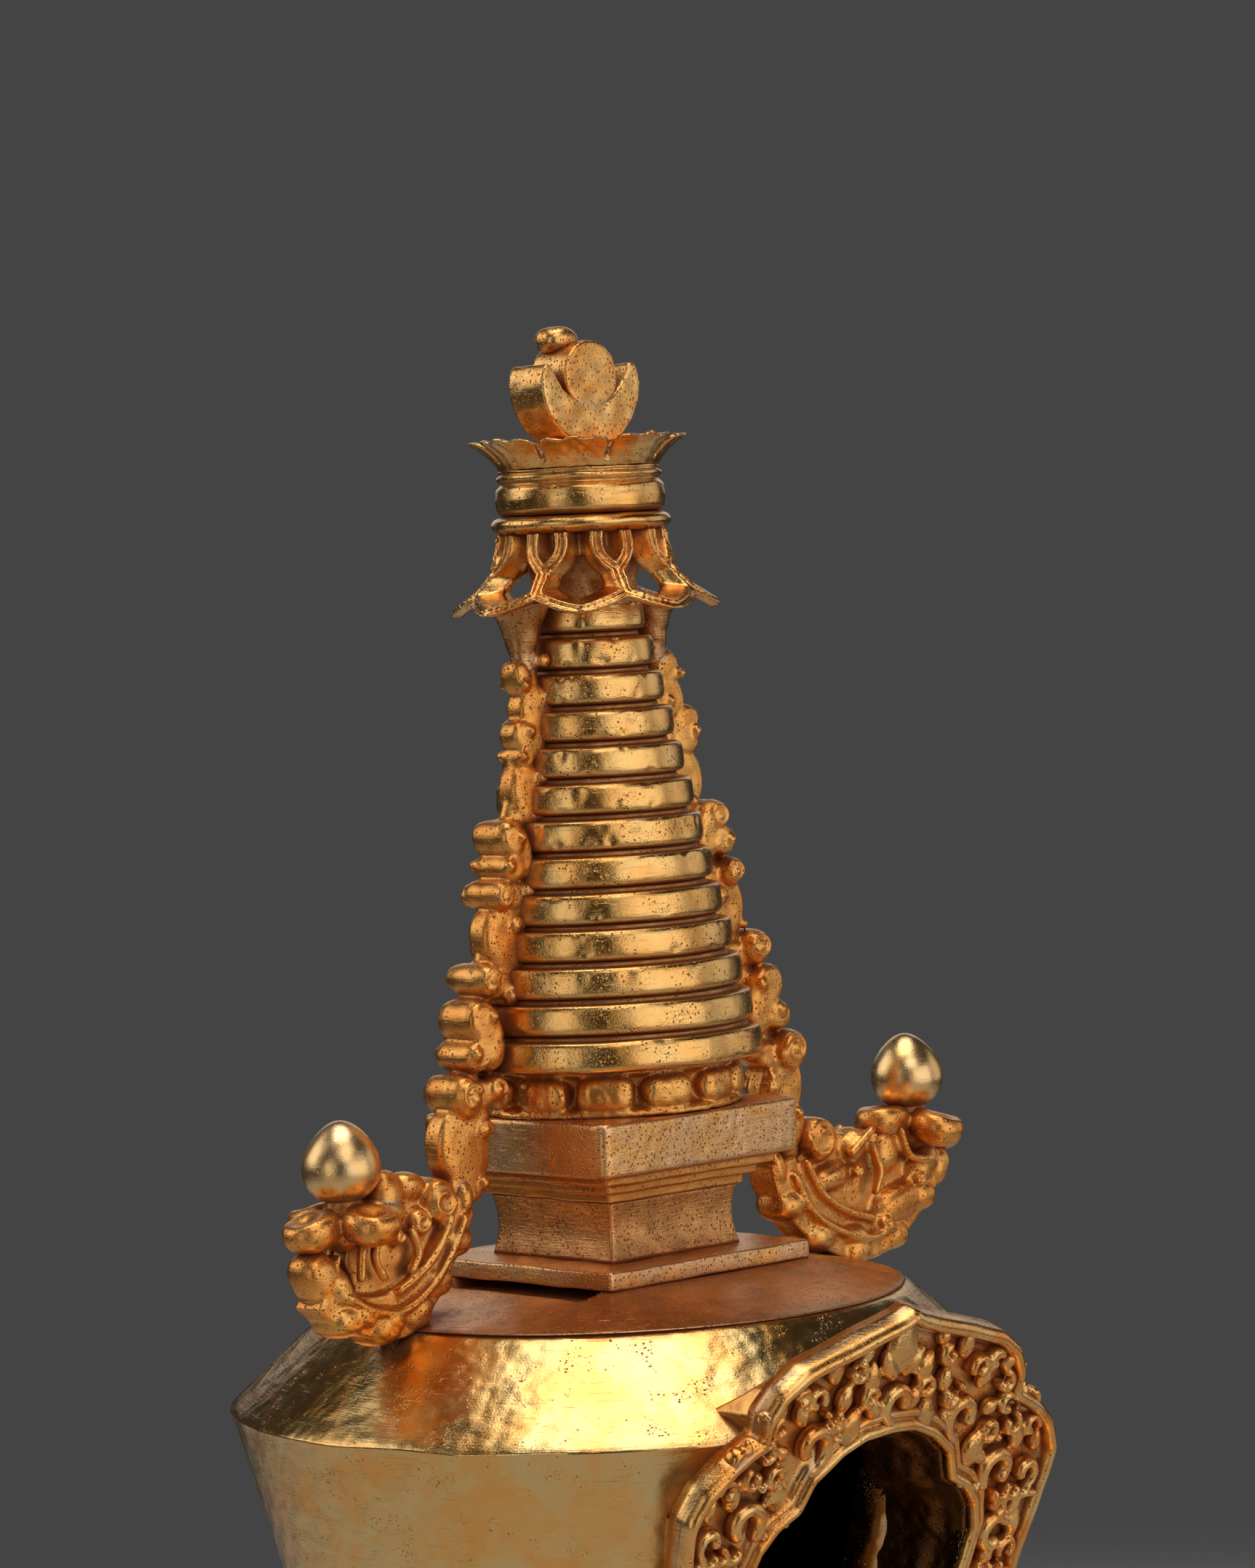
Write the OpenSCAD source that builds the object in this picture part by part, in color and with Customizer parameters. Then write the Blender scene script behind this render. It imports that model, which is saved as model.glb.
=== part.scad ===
/* [Throne] */
// Side of the square plinth
throne_w = 92; // [90:1:100]
// Height of the whole throne
throne_h = 25; // [22:0.5:30]
// Thickness of the cast throne walls
throne_wall = 2; // [1.5:0.1:3]
// How far the dado stands back from the plinth's edge
dado_inset = 9; // [7:0.5:12]

/* [Terraces] */
// Side of the lowest terrace
terrace_w = 74; // [70:1:78]
// How much narrower each terrace is than the one below
terrace_narrowing = 7; // [5:0.5:8]
// Height of one terrace
terrace_h = 3.6; // [3:0.1:4.5]

/* [Dome] */
// Height of the lotus ring under the dome
lotus_ring_h = 4.6; // [4:0.1:6]
// Height of the round foot under the dome's wall
foot_h = 3; // [2:0.1:4]
// Radius of the wall where it leaves the foot
wall_foot_r = 20.5; // [19:0.5:22]
// Radius of the sharp shoulder rim
shoulder_r = 32; // [31:0.5:33]
// Height of the wall from the foot to the shoulder rim
wall_h = 43; // [41:0.5:45]
// Height of the sloping shoulder
shoulder_h = 7.7; // [7:0.1:8.5]
// Radius of the shoulder's upper edge
crown_r = 23.4; // [23:0.1:24]
// Thickness of the cast dome
dome_t = 1.6; // [1.2:0.1:2]

/* [Niche] */
// Lean of the niche's face away from upright, in degrees
niche_tilt = 20; // [18:0.5:21]
// Distance of the niche's face in front of the axis at niche_z
niche_y = 26.5; // [26:0.1:27]
// Height on the object where niche_y is measured
niche_z = 80; // [79:0.5:81]
// Depth of the frame's hood behind its face
hood_depth = 9; // [8:0.5:10]

/* [Harmika] */
// Side of the square base plate
harmika_base_w = 22.3; // [21.5:0.1:23]
// Side of the square neck
neck_w = 14.35; // [13.5:0.1:15]
// Height of the neck
neck_h = 4.9; // [4.5:0.1:5.5]
// Side of the square slab
slab_w = 22; // [21:0.1:23]
// Height of the slab
slab_h = 4.4; // [4:0.1:5]

/* [Spire] */
// Radius of the lowest ring
ring_r = 12.7; // [12.3:0.1:13]
// How much smaller each ring is than the one below
ring_narrowing = 0.66; // [0.6:0.01:0.68]
// Height of one ring
ring_h = 2.45; // [2.3:0.05:2.5]
// Distance from one ring to the next
ring_pitch = 2.905; // [2.85:0.005:2.95]
// Radius of the spindle that holds the spire together
spindle_r = 2.2; // [2:0.1:2.4]
// Radial clearance around the spindle and the pegs
fit_gap = 0.05; // [0.03:0.01:0.08]

/* [Finial] */
// Radius of the crescent's outer curve
moon_r = 5.56; // [5.2:0.02:5.8]
// Thickness of the crescent
moon_t = 4.4; // [4:0.1:4.8]
// Radius of the sun disc
sun_r = 2.75; // [2.5:0.05:2.9]

/* [Streamers] */
// Thickness of the streamers from front to back
ribbon_t = 4.2; // [3.6:0.1:4.6]
// How much further out the right streamer stands than the left one
right_reach = 2.4; // [2:0.1:2.8]
// Radius of the flower buds
bud_r = 3.1; // [2.8:0.1:3.3]

/* [Hidden] */
RINGS = 13;
$fn = 64;

GOLD = [0.83, 0.66, 0.38];
ORANGE_GOLD = [0.74, 0.47, 0.2];
BROWN_GOLD = [0.5, 0.28, 0.12];

// Heights of the stack, from the floor up
z_terraces = throne_h;
z_lotus = z_terraces + 4 * terrace_h;
z_foot = z_lotus + lotus_ring_h;
z_wall = z_foot + foot_h;
z_shoulder = z_wall + wall_h;
z_crown = z_shoulder + shoulder_h;
cap_h = 2.1;
z_cap = z_crown + cap_h;
harmika_base_h = 1.5;
z_neck = z_cap + harmika_base_h;
z_cornice = z_neck + neck_h;
cornice_h = 2.4;
z_slab = z_cornice + cornice_h;
z_collar = z_slab + slab_h;
collar_h = 3.825;
z_rings = z_collar + collar_h;
canopy_h = 6.1;
canopy_drop = 0.5;
z_canopy = z_rings + (RINGS - 1) * ring_pitch + ring_h - canopy_drop;
z_bead = z_canopy + canopy_h;
bead_h = 1.5;
drum_h = 3.7;
z_crown_lotus = z_bead + bead_h + drum_h;
moon_rise = 6.9;
z_moon = z_crown_lotus + moon_rise;
sun_rise = 0.5;
z_sun = z_moon + sun_rise;

// Plug under the dome cap, the spindle's tang below the harmika, and the gap that the harmika rests on
plug_h = 3;
plug_r = 14;
tang_depth = 11;
rest_gap = 0.05;

// Slot in the dome cap's left side, close under the harmika's base plate
slot_x = 10.4;
slot_l = 17;
slot_h = 0.9;

// Feet of the streamers, from the axis, with their pegs and the sockets' depth and height.
// The pegs reach from peg_drop below the dome's crown to peg_rise above it.
foot_x = 24.7;
peg_r = 0.8;
socket_r = 1.9;
socket_depth = 4;
socket_h = 2.6;
peg_drop = 3;
peg_rise = 2;

// Base plate, corner posts, and the panels sunk in the dado
plate_t = 1;
post_r = 2.2;
panel_margin = 10;
panel_depth = 0.8;

// Corner step of a terrace
terrace_step = 2.2;

throne_levels = [0, 5, 8, 18, 21, throne_h];

module square_block(w, z0, z1) {
    translate([-w / 2, -w / 2, z0]) cube([w, w, z1 - z0]);
}

// Square with stepped corners, as two crossed rectangles and the square between them
module stepped_block(w, step, z0, z1) {
    translate([-w / 2, -w / 2 + 2 * step, z0]) cube([w, w - 4 * step, z1 - z0]);
    translate([-w / 2 + 2 * step, -w / 2, z0]) cube([w - 4 * step, w, z1 - z0]);
    square_block(w - 2 * step, z0, z1);
}

module bored(r = spindle_r + fit_gap) {
    difference() {
        children();
        translate([0, 0, 50]) cylinder(h = 150, r = r);
    }
}

// ---- Throne ----

module base_plate() {
    color(BROWN_GOLD) square_block(throne_w - 2 * throne_wall - 0.2, 0, plate_t);
}

module throne_plinth() {
    color(GOLD) difference() {
        union() {
            square_block(throne_w, 0, throne_levels[1]);
            square_block(throne_w - 5, throne_levels[1], throne_levels[2]);
        }
        square_block(throne_w - 2 * throne_wall, -1, 3);
        square_block(throne_w - 2 * dado_inset - 2 * throne_wall, 2, throne_levels[2] + 1);
    }
}

module throne_dado() {
    w = throne_w - 2 * dado_inset;
    panel_w = w - 2 * panel_margin;
    color(ORANGE_GOLD) difference() {
        square_block(w, throne_levels[2], throne_levels[3]);
        square_block(w - 2 * throne_wall - 2, throne_levels[2] - 1, throne_levels[3] + 1);
        for (a = [0:90:270]) rotate(a)
            translate([-panel_w / 2, -w / 2 - 1, throne_levels[2] + 2])
                cube([panel_w, 1 + panel_depth, throne_levels[3] - throne_levels[2] - 4]);
    }
}

module corner_posts() {
    w = throne_w - 2 * dado_inset;
    color(GOLD) for (a = [0:90:270]) rotate(a)
        translate([w / 2 + post_r, w / 2 + post_r, throne_levels[2]])
            cylinder(h = throne_levels[3] - throne_levels[2], r = post_r);
}

module throne_cornice() {
    color(GOLD) difference() {
        union() {
            square_block(throne_w - 5, throne_levels[3], throne_levels[4]);
            square_block(throne_w - 2, throne_levels[4], throne_levels[5]);
        }
        square_block(terrace_w - 8, throne_levels[3] - 1, throne_levels[5] + 1);
    }
}

module terrace(n) {
    w = terrace_w - (n - 1) * terrace_narrowing;
    z = z_terraces + (n - 1) * terrace_h;
    color(GOLD) difference() {
        union() {
            stepped_block(w - 1.6, terrace_step, z, z + terrace_h * 0.55);
            stepped_block(w, terrace_step, z + terrace_h * 0.55, z + terrace_h);
        }
        square_block(w - 2 * terrace_narrowing - 4, z - 1, z + terrace_h + 1);
    }
}

// ---- Dome ----

module lotus_ring() {
    r = wall_foot_r + 2;
    petals = 24;
    color(ORANGE_GOLD) difference() {
        union() {
            translate([0, 0, z_lotus]) cylinder(h = lotus_ring_h, r = r);
            for (i = [0:petals - 1]) rotate(i * 360 / petals)
                translate([r - 0.6, 0, z_lotus + lotus_ring_h / 2]) sphere(r = 2.2, $fn = 32);
        }
        translate([0, 0, z_lotus - 1]) cylinder(h = lotus_ring_h + 2, r = r - 6);
    }
}

module dome_foot() {
    color(GOLD) rotate_extrude() polygon([[0, z_foot], [wall_foot_r + 1.5, z_foot],
        [wall_foot_r + 2.2, z_foot + foot_h / 2], [wall_foot_r + 1.2, z_wall], [0, z_wall]]);
}

// The dome's outer form as one solid
module dome_form() {
    rotate_extrude() polygon([[0, z_wall], [wall_foot_r, z_wall], [shoulder_r, z_shoulder],
        [crown_r, z_crown], [0, z_crown]]);
}

module dome_hollow() {
    r = wall_foot_r - dome_t;
    rotate_extrude() polygon([[0, z_wall - 1], [r, z_wall - 1], [r, z_wall],
        [shoulder_r - 1.35 * dome_t, z_shoulder - 0.2], [crown_r - 0.9 * dome_t, z_crown - dome_t],
        [0, z_crown - dome_t]]);
}

module dome_shell() {
    color(GOLD) difference() {
        dome_form();
        dome_hollow();
        translate([0, 0, z_crown - 5]) cylinder(h = 10, r = plug_r);
        niche_layer(-hood_depth, 20) niche_outline(0);
        for (s = [-1, 1]) {
            socket_core(s, socket_r);
            peg_core(s, peg_r + fit_gap, z_crown - socket_depth);
        }
    }
}

// Square above, round below, with the plug that seats it in the dome and a slot on its left side
module dome_cap() {
    color(ORANGE_GOLD) bored() difference() {
        union() {
            hull() {
                translate([0, 0, z_crown]) cylinder(h = 0.01, r = crown_r);
                square_block(harmika_base_w, z_cap - 0.06, z_cap - rest_gap);
            }
            translate([0, 0, z_crown - plug_h]) cylinder(h = plug_h, r = plug_r);
        }
        translate([-slot_x - 3, -9.8, z_cap - slot_h]) cube([3, slot_l, 2]);
    }
}

// ---- Niche ----

// Space between two planes that lean like the niche's face, from out_a to out_b in front of it
module leaning_slab(out_a, out_b) {
    translate([0, -niche_y, niche_z]) rotate([90 + niche_tilt, 0, 0])
        translate([-40, -60, out_a]) cube([80, 120, out_b - out_a]);
}

// Carries a flat outline, drawn across and up from the niche's centre, along Y between two leaning planes
module niche_layer(out_a, out_b) {
    intersection() {
        translate([0, -5, niche_z]) rotate([90, 0, 0]) linear_extrude(50) children();
        leaning_slab(out_a, out_b);
    }
}

// Outline of the frame, moved in by d: an ogee top, two shoulders, two bulging sides and a taper
module niche_outline(d) {
    for (s = [-1, 1]) {
        translate([s * 9.6, 11.2]) circle(r = 4.8 - d);
        translate([s * 14.3, 4]) circle(r = 6.2 - d);
    }
    polygon([[0, 18.8 - 1.1 * d], [-12 + d, 15.2 - d], [-14.3 + d, 10.7], [-19.4 + d, 4.7],
        [-20.4 + d, 2.2], [-15.6 + d, -28.2 + d], [15.6 - d, -28.2 + d], [20.4 - d, 2.2],
        [19.4 - d, 4.7], [14.3 - d, 10.7],
        [12 - d, 15.2 - d]]);
}

// Outline of the opening, moved out by d: a pointed arch on two cusped shoulders over a taper
module niche_opening(d) {
    translate([0, 0.8]) circle(r = 8.1 + d);
    for (s = [-1, 1]) {
        translate([s * 4.3, 4.6]) circle(r = 3.8 + d);
        translate([s * 8.3, -1.4]) circle(r = 4.1 + d);
    }
    polygon([[-8.1 - d, 1.9], [-12.3 - d, -1.9], [-8.5 - d, -23.5 - d], [8.5 + d, -23.5 - d],
        [12.3 + d, -1.9], [8.1 + d, 1.9]]);
}

module niche_frame() {
    color(GOLD) difference() {
        union() {
            niche_layer(-1.6, 0) niche_outline(0);
            niche_layer(-0.5, 0.9) difference() {
                niche_outline(0);
                niche_outline(1.1);
            }
            niche_layer(-0.5, 0.7) niche_opening(1);
        }
        niche_layer(-4, 4) niche_opening(0);
    }
}

// Wall that carries the frame's edge back through the dome's wall
module niche_hood() {
    color(BROWN_GOLD) difference() {
        niche_layer(-hood_depth, -1.6) niche_outline(0);
        niche_layer(-hood_depth - 5, 4) niche_outline(1.2);
        dome_hollow();
    }
}

module niche_reveal() {
    color(BROWN_GOLD) difference() {
        niche_layer(-5, -1.6) niche_opening(1);
        niche_layer(-6, 4) niche_opening(0);
    }
}

// Curls of foliage, given once for the right half as [across, up, radius]
NICHE_CURLS = [[0, 13.7, 1.7], [4.6, 12.5, 1.8], [9.2, 11.8, 1.9], [11.4, 7.9, 1.7], [14.6, 5.1, 2],
    [17, 1.7, 1.6], [16, -3.4, 1.8], [15.2, -8.5, 1.6], [14.1, -13.2, 1.5], [12.9, -17.9, 1.5],
    [11.8, -22.4, 1.4]];

module niche_scrollwork() {
    color(ORANGE_GOLD) niche_layer(0, 0.8) for (c = NICHE_CURLS) for (s = c[0] == 0 ? [1] : [-1, 1])
        translate([s * c[0], c[1]]) difference() {
            circle(r = c[2], $fn = 32);
            translate([s * 0.25, 0]) circle(r = c[2] * 0.5, $fn = 32);
        }
}

// Ledge under the frame
module niche_sill() {
    color(GOLD) difference() {
        translate([-17, -24.5, z_wall + 1.2]) cube([34, 12, 3.6]);
        dome_form();
        niche_layer(-hood_depth, 3) niche_outline(0);
    }
}

// ---- Streamer sockets in the dome's shoulder ----

module socket_core(s, r) {
    translate([s * foot_x, 0, z_crown - socket_depth]) cylinder(h = socket_h, r = r, $fn = 48);
}

// Round bar on a peg's axis, from a height up to the hook
module peg_core(s, r, z) {
    translate([s * foot_x, 0, z]) cylinder(h = z_crown + peg_rise - z, r = r, $fn = 48);
}

module streamer_socket(s) {
    color(BROWN_GOLD) difference() {
        socket_core(s, socket_r);
        peg_core(s, peg_r + fit_gap, z_crown - socket_depth);
    }
}

// ---- Harmika ----

module harmika_base() {
    color(GOLD) bored() square_block(harmika_base_w, z_cap, z_neck);
}

module harmika_neck() {
    color(ORANGE_GOLD) bored() square_block(neck_w, z_neck, z_cornice);
}

module harmika_cornice() {
    color(ORANGE_GOLD) bored() union() {
        square_block(neck_w + 0.7, z_cornice, z_cornice + 0.8);
        square_block(neck_w + 2.4, z_cornice + 0.8, z_cornice + 1.6);
        square_block(neck_w + 4.6, z_cornice + 1.6, z_slab);
    }
}

// Slab with its upright corners cut off
module harmika_slab() {
    cut = 0.7;
    h = slab_w / 2;
    color(GOLD) bored() translate([0, 0, z_slab]) linear_extrude(slab_h)
        polygon([[h, h - cut], [h - cut, h], [-h + cut, h], [-h, h - cut],
            [-h, -h + cut], [-h + cut, -h], [h - cut, -h], [h, -h + cut]]);
}

module lotus_collar() {
    pads = 12;
    pad_r = 1.75;
    color(ORANGE_GOLD) bored() union() {
        translate([0, 0, z_collar]) cylinder(h = collar_h, r = 10.2);
        translate([0, 0, z_collar]) cylinder(h = 0.9, r = 10.9);
        for (i = [0:pads - 1]) rotate((i + 0.5) * 360 / pads)
            translate([9.4, 0, z_collar + collar_h / 2]) sphere(r = pad_r, $fn = 32);
    }
}

// ---- Spire ----

module spire_spindle() {
    color(BROWN_GOLD) translate([0, 0, z_cap - tang_depth])
        cylinder(h = z_crown_lotus - 1 - z_cap + tang_depth, r = spindle_r);
}

// A ring with a rounded, slightly conical edge, and the narrow seat for the ring above
module ring(n) {
    r = ring_r - (n - 1) * ring_narrowing;
    z = z_rings + (n - 1) * ring_pitch;
    edge = 0.45;
    seat_r = max(r - 1.2, spindle_r + 1);
    color(GOLD) translate([0, 0, z]) rotate_extrude() polygon([[spindle_r + fit_gap, 0], [r - edge, 0],
        [r, edge], [r - 0.15, ring_h - edge], [r - 0.15 - edge, ring_h], [seat_r, ring_h],
        [seat_r, ring_pitch], [spindle_r + fit_gap, ring_pitch]]);
}

// Bell of the canopy from its rim up, as distance from the axis and height over the rim
CANOPY_BELL = [[10.5, 0], [9.4, 1.1], [8.2, 2.2], [7.2, 3.4], [6.7, 4.6], [6.5, canopy_h]];
canopy_t = 0.6;

// Solid under the bell, a wall's thickness t inside it
module canopy_form(t) {
    translate([0, 0, z_canopy - 0.01]) rotate_extrude()
        polygon(concat([[0, 0]], [for (p = CANOPY_BELL) [p[0] - t, p[1] - (p[1] > 4.6 ? t : 0)]],
            [[0, canopy_h - t]]));
}

// Hole along X through the bell's wall, at height up over the rim
module canopy_hole(up, r) {
    translate([5, 0, z_canopy + up]) rotate([0, 90, 0]) cylinder(h = 8, r = r, $fn = 32);
}

// Bell-shaped openwork skirt with eight large and eight small openings
module parasol_canopy() {
    color(ORANGE_GOLD) bored() difference() {
        canopy_form(0);
        canopy_form(canopy_t);
        for (i = [0:7]) {
            rotate(i * 45 - 90) canopy_hole(2.3, 1.35);
            rotate(i * 45 - 67.5) canopy_hole(4.6, 0.6);
        }
    }
}

module parasol_bead() {
    color(GOLD) translate([0, 0, z_bead]) rotate_extrude() polygon([[spindle_r + fit_gap, 0], [6.6, 0],
        [7.2, 0.4], [7.35, 0.8], [7.1, 1.2], [6.4, bead_h], [spindle_r + fit_gap, bead_h]]);
}

module parasol_drum() {
    color(GOLD) translate([0, 0, z_bead + bead_h]) rotate_extrude() polygon([
        [spindle_r + fit_gap, 0], [6.5, 0], [6.85, 0.5], [6.95, 1.4], [6.85, 2.3], [6.5, 2.75],
        [6.5, 3], [6.75, 3.2], [6.75, drum_h - 0.15], [6.6, drum_h], [0, drum_h],
        [0, drum_h - 0.9], [spindle_r + fit_gap, drum_h - 0.9]]);
}

// Cup of eight upturned petals around a low boss that carries the crescent
module lotus_crown() {
    color(ORANGE_GOLD) translate([0, 0, z_crown_lotus]) difference() {
        rotate_extrude() polygon([[0, 0], [6.5, 0], [7.3, 1.2], [8.8, 2.4], [8.4, 2.5], [6.9, 1.5],
            [5.6, 0.8], [3.4, 0.8], [3, 1.7], [0, 1.7]]);
        for (i = [0:7]) rotate(i * 45 + 22.5 - 90) translate([6.5, -0.2, 0.8]) cube([4, 0.4, 3]);
    }
}

// Carries a flat outline in X and Z, centred on the object's middle plane
module upright(t) {
    translate([0, t / 2, 0]) rotate([90, 0, 0]) linear_extrude(t) children();
}

module crescent_moon() {
    color(GOLD) difference() {
        upright(moon_t) difference() {
            translate([0, z_moon]) circle(r = moon_r);
            translate([0, z_moon + 3.6]) circle(r = 5.4);
            translate([-8, z_moon + 1.6]) square([16, 10]);
            translate([0, z_sun]) circle(r = sun_r);
        }
        translate([-8, -8, z_moon - 10]) cube([16, 16, 10 - 5.2]);
    }
}

module sun_disc() {
    color(GOLD) upright(moon_t - 0.3) translate([0, z_sun]) circle(r = sun_r);
}

module finial_jewel() {
    color(GOLD) difference() {
        translate([-1.1, 0.7, z_sun + 1.75]) rotate_extrude($fn = 48)
            polygon([[0, 0], [1, 0.15], [1.65, 1], [1.5, 1.7], [0.9, 2.2], [0, 2.3]]);
        upright(moon_t - 0.3) translate([0, z_sun]) circle(r = sun_r);
    }
}

// ---- Streamers ----

// Middle line of the left streamer from the parasol down, as distance from the axis and height
RIBBON = [[7.7, 150], [8.2, 146], [8.8, 142], [9.5, 138.5], [10.6, 134.5], [11.4, 131], [12.3, 128],
    [13.4, 124.5], [15, 120], [16, 116], [17.2, 112.5], [17.9, 109], [18, 106]];
z_ribbon_top = 149.3;
z_ribbon_end = 107;
// Middle lines of the hooks, from the streamers' ends round to the flowers, and the buds' centres
HOOK_LEFT = [[18, 108], [18.6, 105], [20.8, 101.6], [23, 99.8], [25.6, 100], [28, 101.8], [29.8, 104.2],
    [30, 106.6]];
HOOK_RIGHT = [[20.4, 108], [21, 105], [23.6, 101.8], [26.4, 99.9], [29.4, 98.9], [32.4, 99.6], [34.8, 102],
    [36, 105.2], [35.8, 107.4]];
BUD_LEFT = [28.8, 111.4];
BUD_RIGHT = [35, 112];
ribbon_w = 2.6;
hook_w = 4;

// Points beside the object's left or right: s is -1 or 1
function ribbon_path(s) = [for (p = RIBBON) [s * (p[0] + (s > 0 ? right_reach : 0)), p[1]]];
function hook_path(s) = [for (p = s > 0 ? HOOK_RIGHT : HOOK_LEFT) [s * p[0], p[1]]];
function bud_place(s) = s > 0 ? BUD_RIGHT : [-BUD_LEFT[0], BUD_LEFT[1]];
function heading(path, i) =
    let (v = path[min(i + 1, len(path) - 1)] - path[max(i - 1, 0)]) v / norm(v);
function beside(path, i, d) = path[i] + d * [-heading(path, i)[1], heading(path, i)[0]];

// Band of even width along a path, with rolls along the side that faces away from the axis
module rolled_band(path, w, s, out, roll_r) {
    n = len(path) - 1;
    forward = [for (i = [0:n]) beside(path, i, -w / 2)];
    back = [for (i = [n:-1:0]) beside(path, i, w / 2)];
    polygon(concat(forward, back));
    for (i = [1:n - 1]) translate(beside(path, i, s * out)) circle(r = roll_r, $fn = 32);
}

module streamer(s) {
    color(GOLD) upright(ribbon_t) intersection() {
        rolled_band(ribbon_path(s), ribbon_w, s, 1.1, 1.05);
        translate([-30, z_ribbon_end]) square([60, z_ribbon_top - z_ribbon_end]);
    }
}

module hook_solid(s) {
    upright(ribbon_t) intersection() {
        rolled_band(hook_path(s), hook_w, s, 1.2, 1.5);
        union() {
            translate([-50, z_ribbon_end - 20]) square([100, 20]);
            translate([s > 0 ? 24 : -50, z_ribbon_end - 20]) square([26, 30]);
        }
    }
}

module hook(s) {
    color(ORANGE_GOLD) hook_solid(s);
}

// Cone that joins a streamer's top to the parasol's rim
module streamer_boss(s) {
    x = ribbon_path(s)[0][0];
    color(ORANGE_GOLD) difference() {
        translate([x, 0, z_ribbon_top]) cylinder(h = z_canopy - z_ribbon_top, r1 = 1.7, r2 = 2.6);
        translate([0, 0, z_ribbon_top - 1])
            cylinder(h = 12, r = ring_r - (RINGS - 2) * ring_narrowing + 0.1);
    }
}

// Four thick petals on a short stalk under the bud
module flower_petals(s) {
    c = bud_place(s);
    color(ORANGE_GOLD) difference() {
        union() {
            for (a = [0:90:270]) translate([c[0], 0, c[1] - 3.8]) rotate(a)
                translate([3.1, 0, 0]) sphere(r = 1.8, $fn = 32);
            translate([c[0], 0, c[1] - 5.4]) cylinder(h = 4, r = 2.2);
        }
        translate([c[0], 0, c[1]]) sphere(r = bud_r);
        hook_solid(s);
    }
}

module flower_bud(s) {
    c = bud_place(s);
    color(GOLD) translate([c[0], 0, c[1]]) sphere(r = bud_r);
}

module streamer_peg(s) {
    color(BROWN_GOLD) difference() {
        peg_core(s, peg_r, z_crown - peg_drop);
        hook_solid(s);
    }
}

base_plate();
throne_plinth();
throne_dado();
corner_posts();
throne_cornice();
terrace(1);  // terrace_1
terrace(2);  // terrace_2
terrace(3);  // terrace_3
terrace(4);  // terrace_4
lotus_ring();
dome_foot();
dome_shell();
dome_cap();
niche_frame();
niche_hood();
niche_reveal();
niche_scrollwork();
niche_sill();
streamer_socket(-1);  // socket_left
streamer_socket(1);  // socket_right
harmika_base();
harmika_neck();
harmika_cornice();
harmika_slab();
lotus_collar();
spire_spindle();
ring(1);  // ring_01
ring(2);  // ring_02
ring(3);  // ring_03
ring(4);  // ring_04
ring(5);  // ring_05
ring(6);  // ring_06
ring(7);  // ring_07
ring(8);  // ring_08
ring(9);  // ring_09
ring(10);  // ring_10
ring(11);  // ring_11
ring(12);  // ring_12
ring(13);  // ring_13
parasol_canopy();
parasol_bead();
parasol_drum();
lotus_crown();
crescent_moon();
sun_disc();
finial_jewel();
streamer_boss(-1);  // streamer_boss_left
streamer_boss(1);  // streamer_boss_right
streamer(-1);  // streamer_left
streamer(1);  // streamer_right
hook(-1);  // hook_left
hook(1);  // hook_right
flower_petals(-1);  // flower_petals_left
flower_petals(1);  // flower_petals_right
flower_bud(-1);  // flower_bud_left
flower_bud(1);  // flower_bud_right
streamer_peg(-1);  // streamer_peg_left
streamer_peg(1);  // streamer_peg_right
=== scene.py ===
"""Gilt reliquary stupa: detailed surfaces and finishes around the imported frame."""
import math
from collections import namedtuple

import bpy
import numpy as np
from mathutils import Matrix, Vector


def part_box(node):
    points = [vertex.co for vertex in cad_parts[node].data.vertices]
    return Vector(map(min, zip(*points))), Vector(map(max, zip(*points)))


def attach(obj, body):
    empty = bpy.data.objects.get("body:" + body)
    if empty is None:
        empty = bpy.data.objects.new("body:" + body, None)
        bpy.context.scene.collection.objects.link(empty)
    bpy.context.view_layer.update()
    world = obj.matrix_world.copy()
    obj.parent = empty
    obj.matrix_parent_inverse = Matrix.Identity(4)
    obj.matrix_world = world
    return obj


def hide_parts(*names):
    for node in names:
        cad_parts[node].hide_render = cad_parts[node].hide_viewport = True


bl_info = {
    "name": "Gilt Reliquary Stupa",
    "version": (1, 0, 0),
    "blender": (4, 5, 0),
    "location": "View3D > Sidebar > Stupa",
    "description": "Builds the castings, ornaments, gilding and stage of a small gilt reliquary stupa",
    "category": "Object",
}

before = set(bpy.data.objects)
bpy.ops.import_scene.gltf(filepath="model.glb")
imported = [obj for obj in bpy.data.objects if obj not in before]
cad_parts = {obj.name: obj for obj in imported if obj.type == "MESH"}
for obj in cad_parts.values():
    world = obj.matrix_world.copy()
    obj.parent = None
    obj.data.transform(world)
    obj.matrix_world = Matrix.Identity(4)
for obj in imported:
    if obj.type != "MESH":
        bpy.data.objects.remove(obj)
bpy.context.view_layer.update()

MM = 0.001
DOME, SPIRE = "dome_body", "spire_body"
RING_NAMES = [f"ring_{n:02d}" for n in range(1, 14)]


def node_box(node):
    """Lowest and highest corners of a CAD node, in millimetres."""
    low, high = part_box(node)
    return np.array(low) / MM, np.array(high) / MM


def node_levels(node):
    """Reach of a CAD node along +X, and its lowest and highest level, in millimetres."""
    low, high = node_box(node)
    return high[0], low[2], high[2]


# ---- Surfaces -------------------------------------------------------------------------------


def grid_faces(rows, columns, close_rows=False, close_columns=True):
    """Quads of a grid of points: point (i, j) joins its next neighbours, and a closed direction wraps round."""
    i = np.arange(rows if close_rows else rows - 1)
    j = np.arange(columns if close_columns else columns - 1)
    i, j = (a.ravel() for a in np.meshgrid(i, j, indexing="ij"))
    i_next, j_next = (i + 1) % rows, (j + 1) % columns
    return np.stack([i * columns + j, i * columns + j_next, i_next * columns + j_next, i_next * columns + j], 1)


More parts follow.
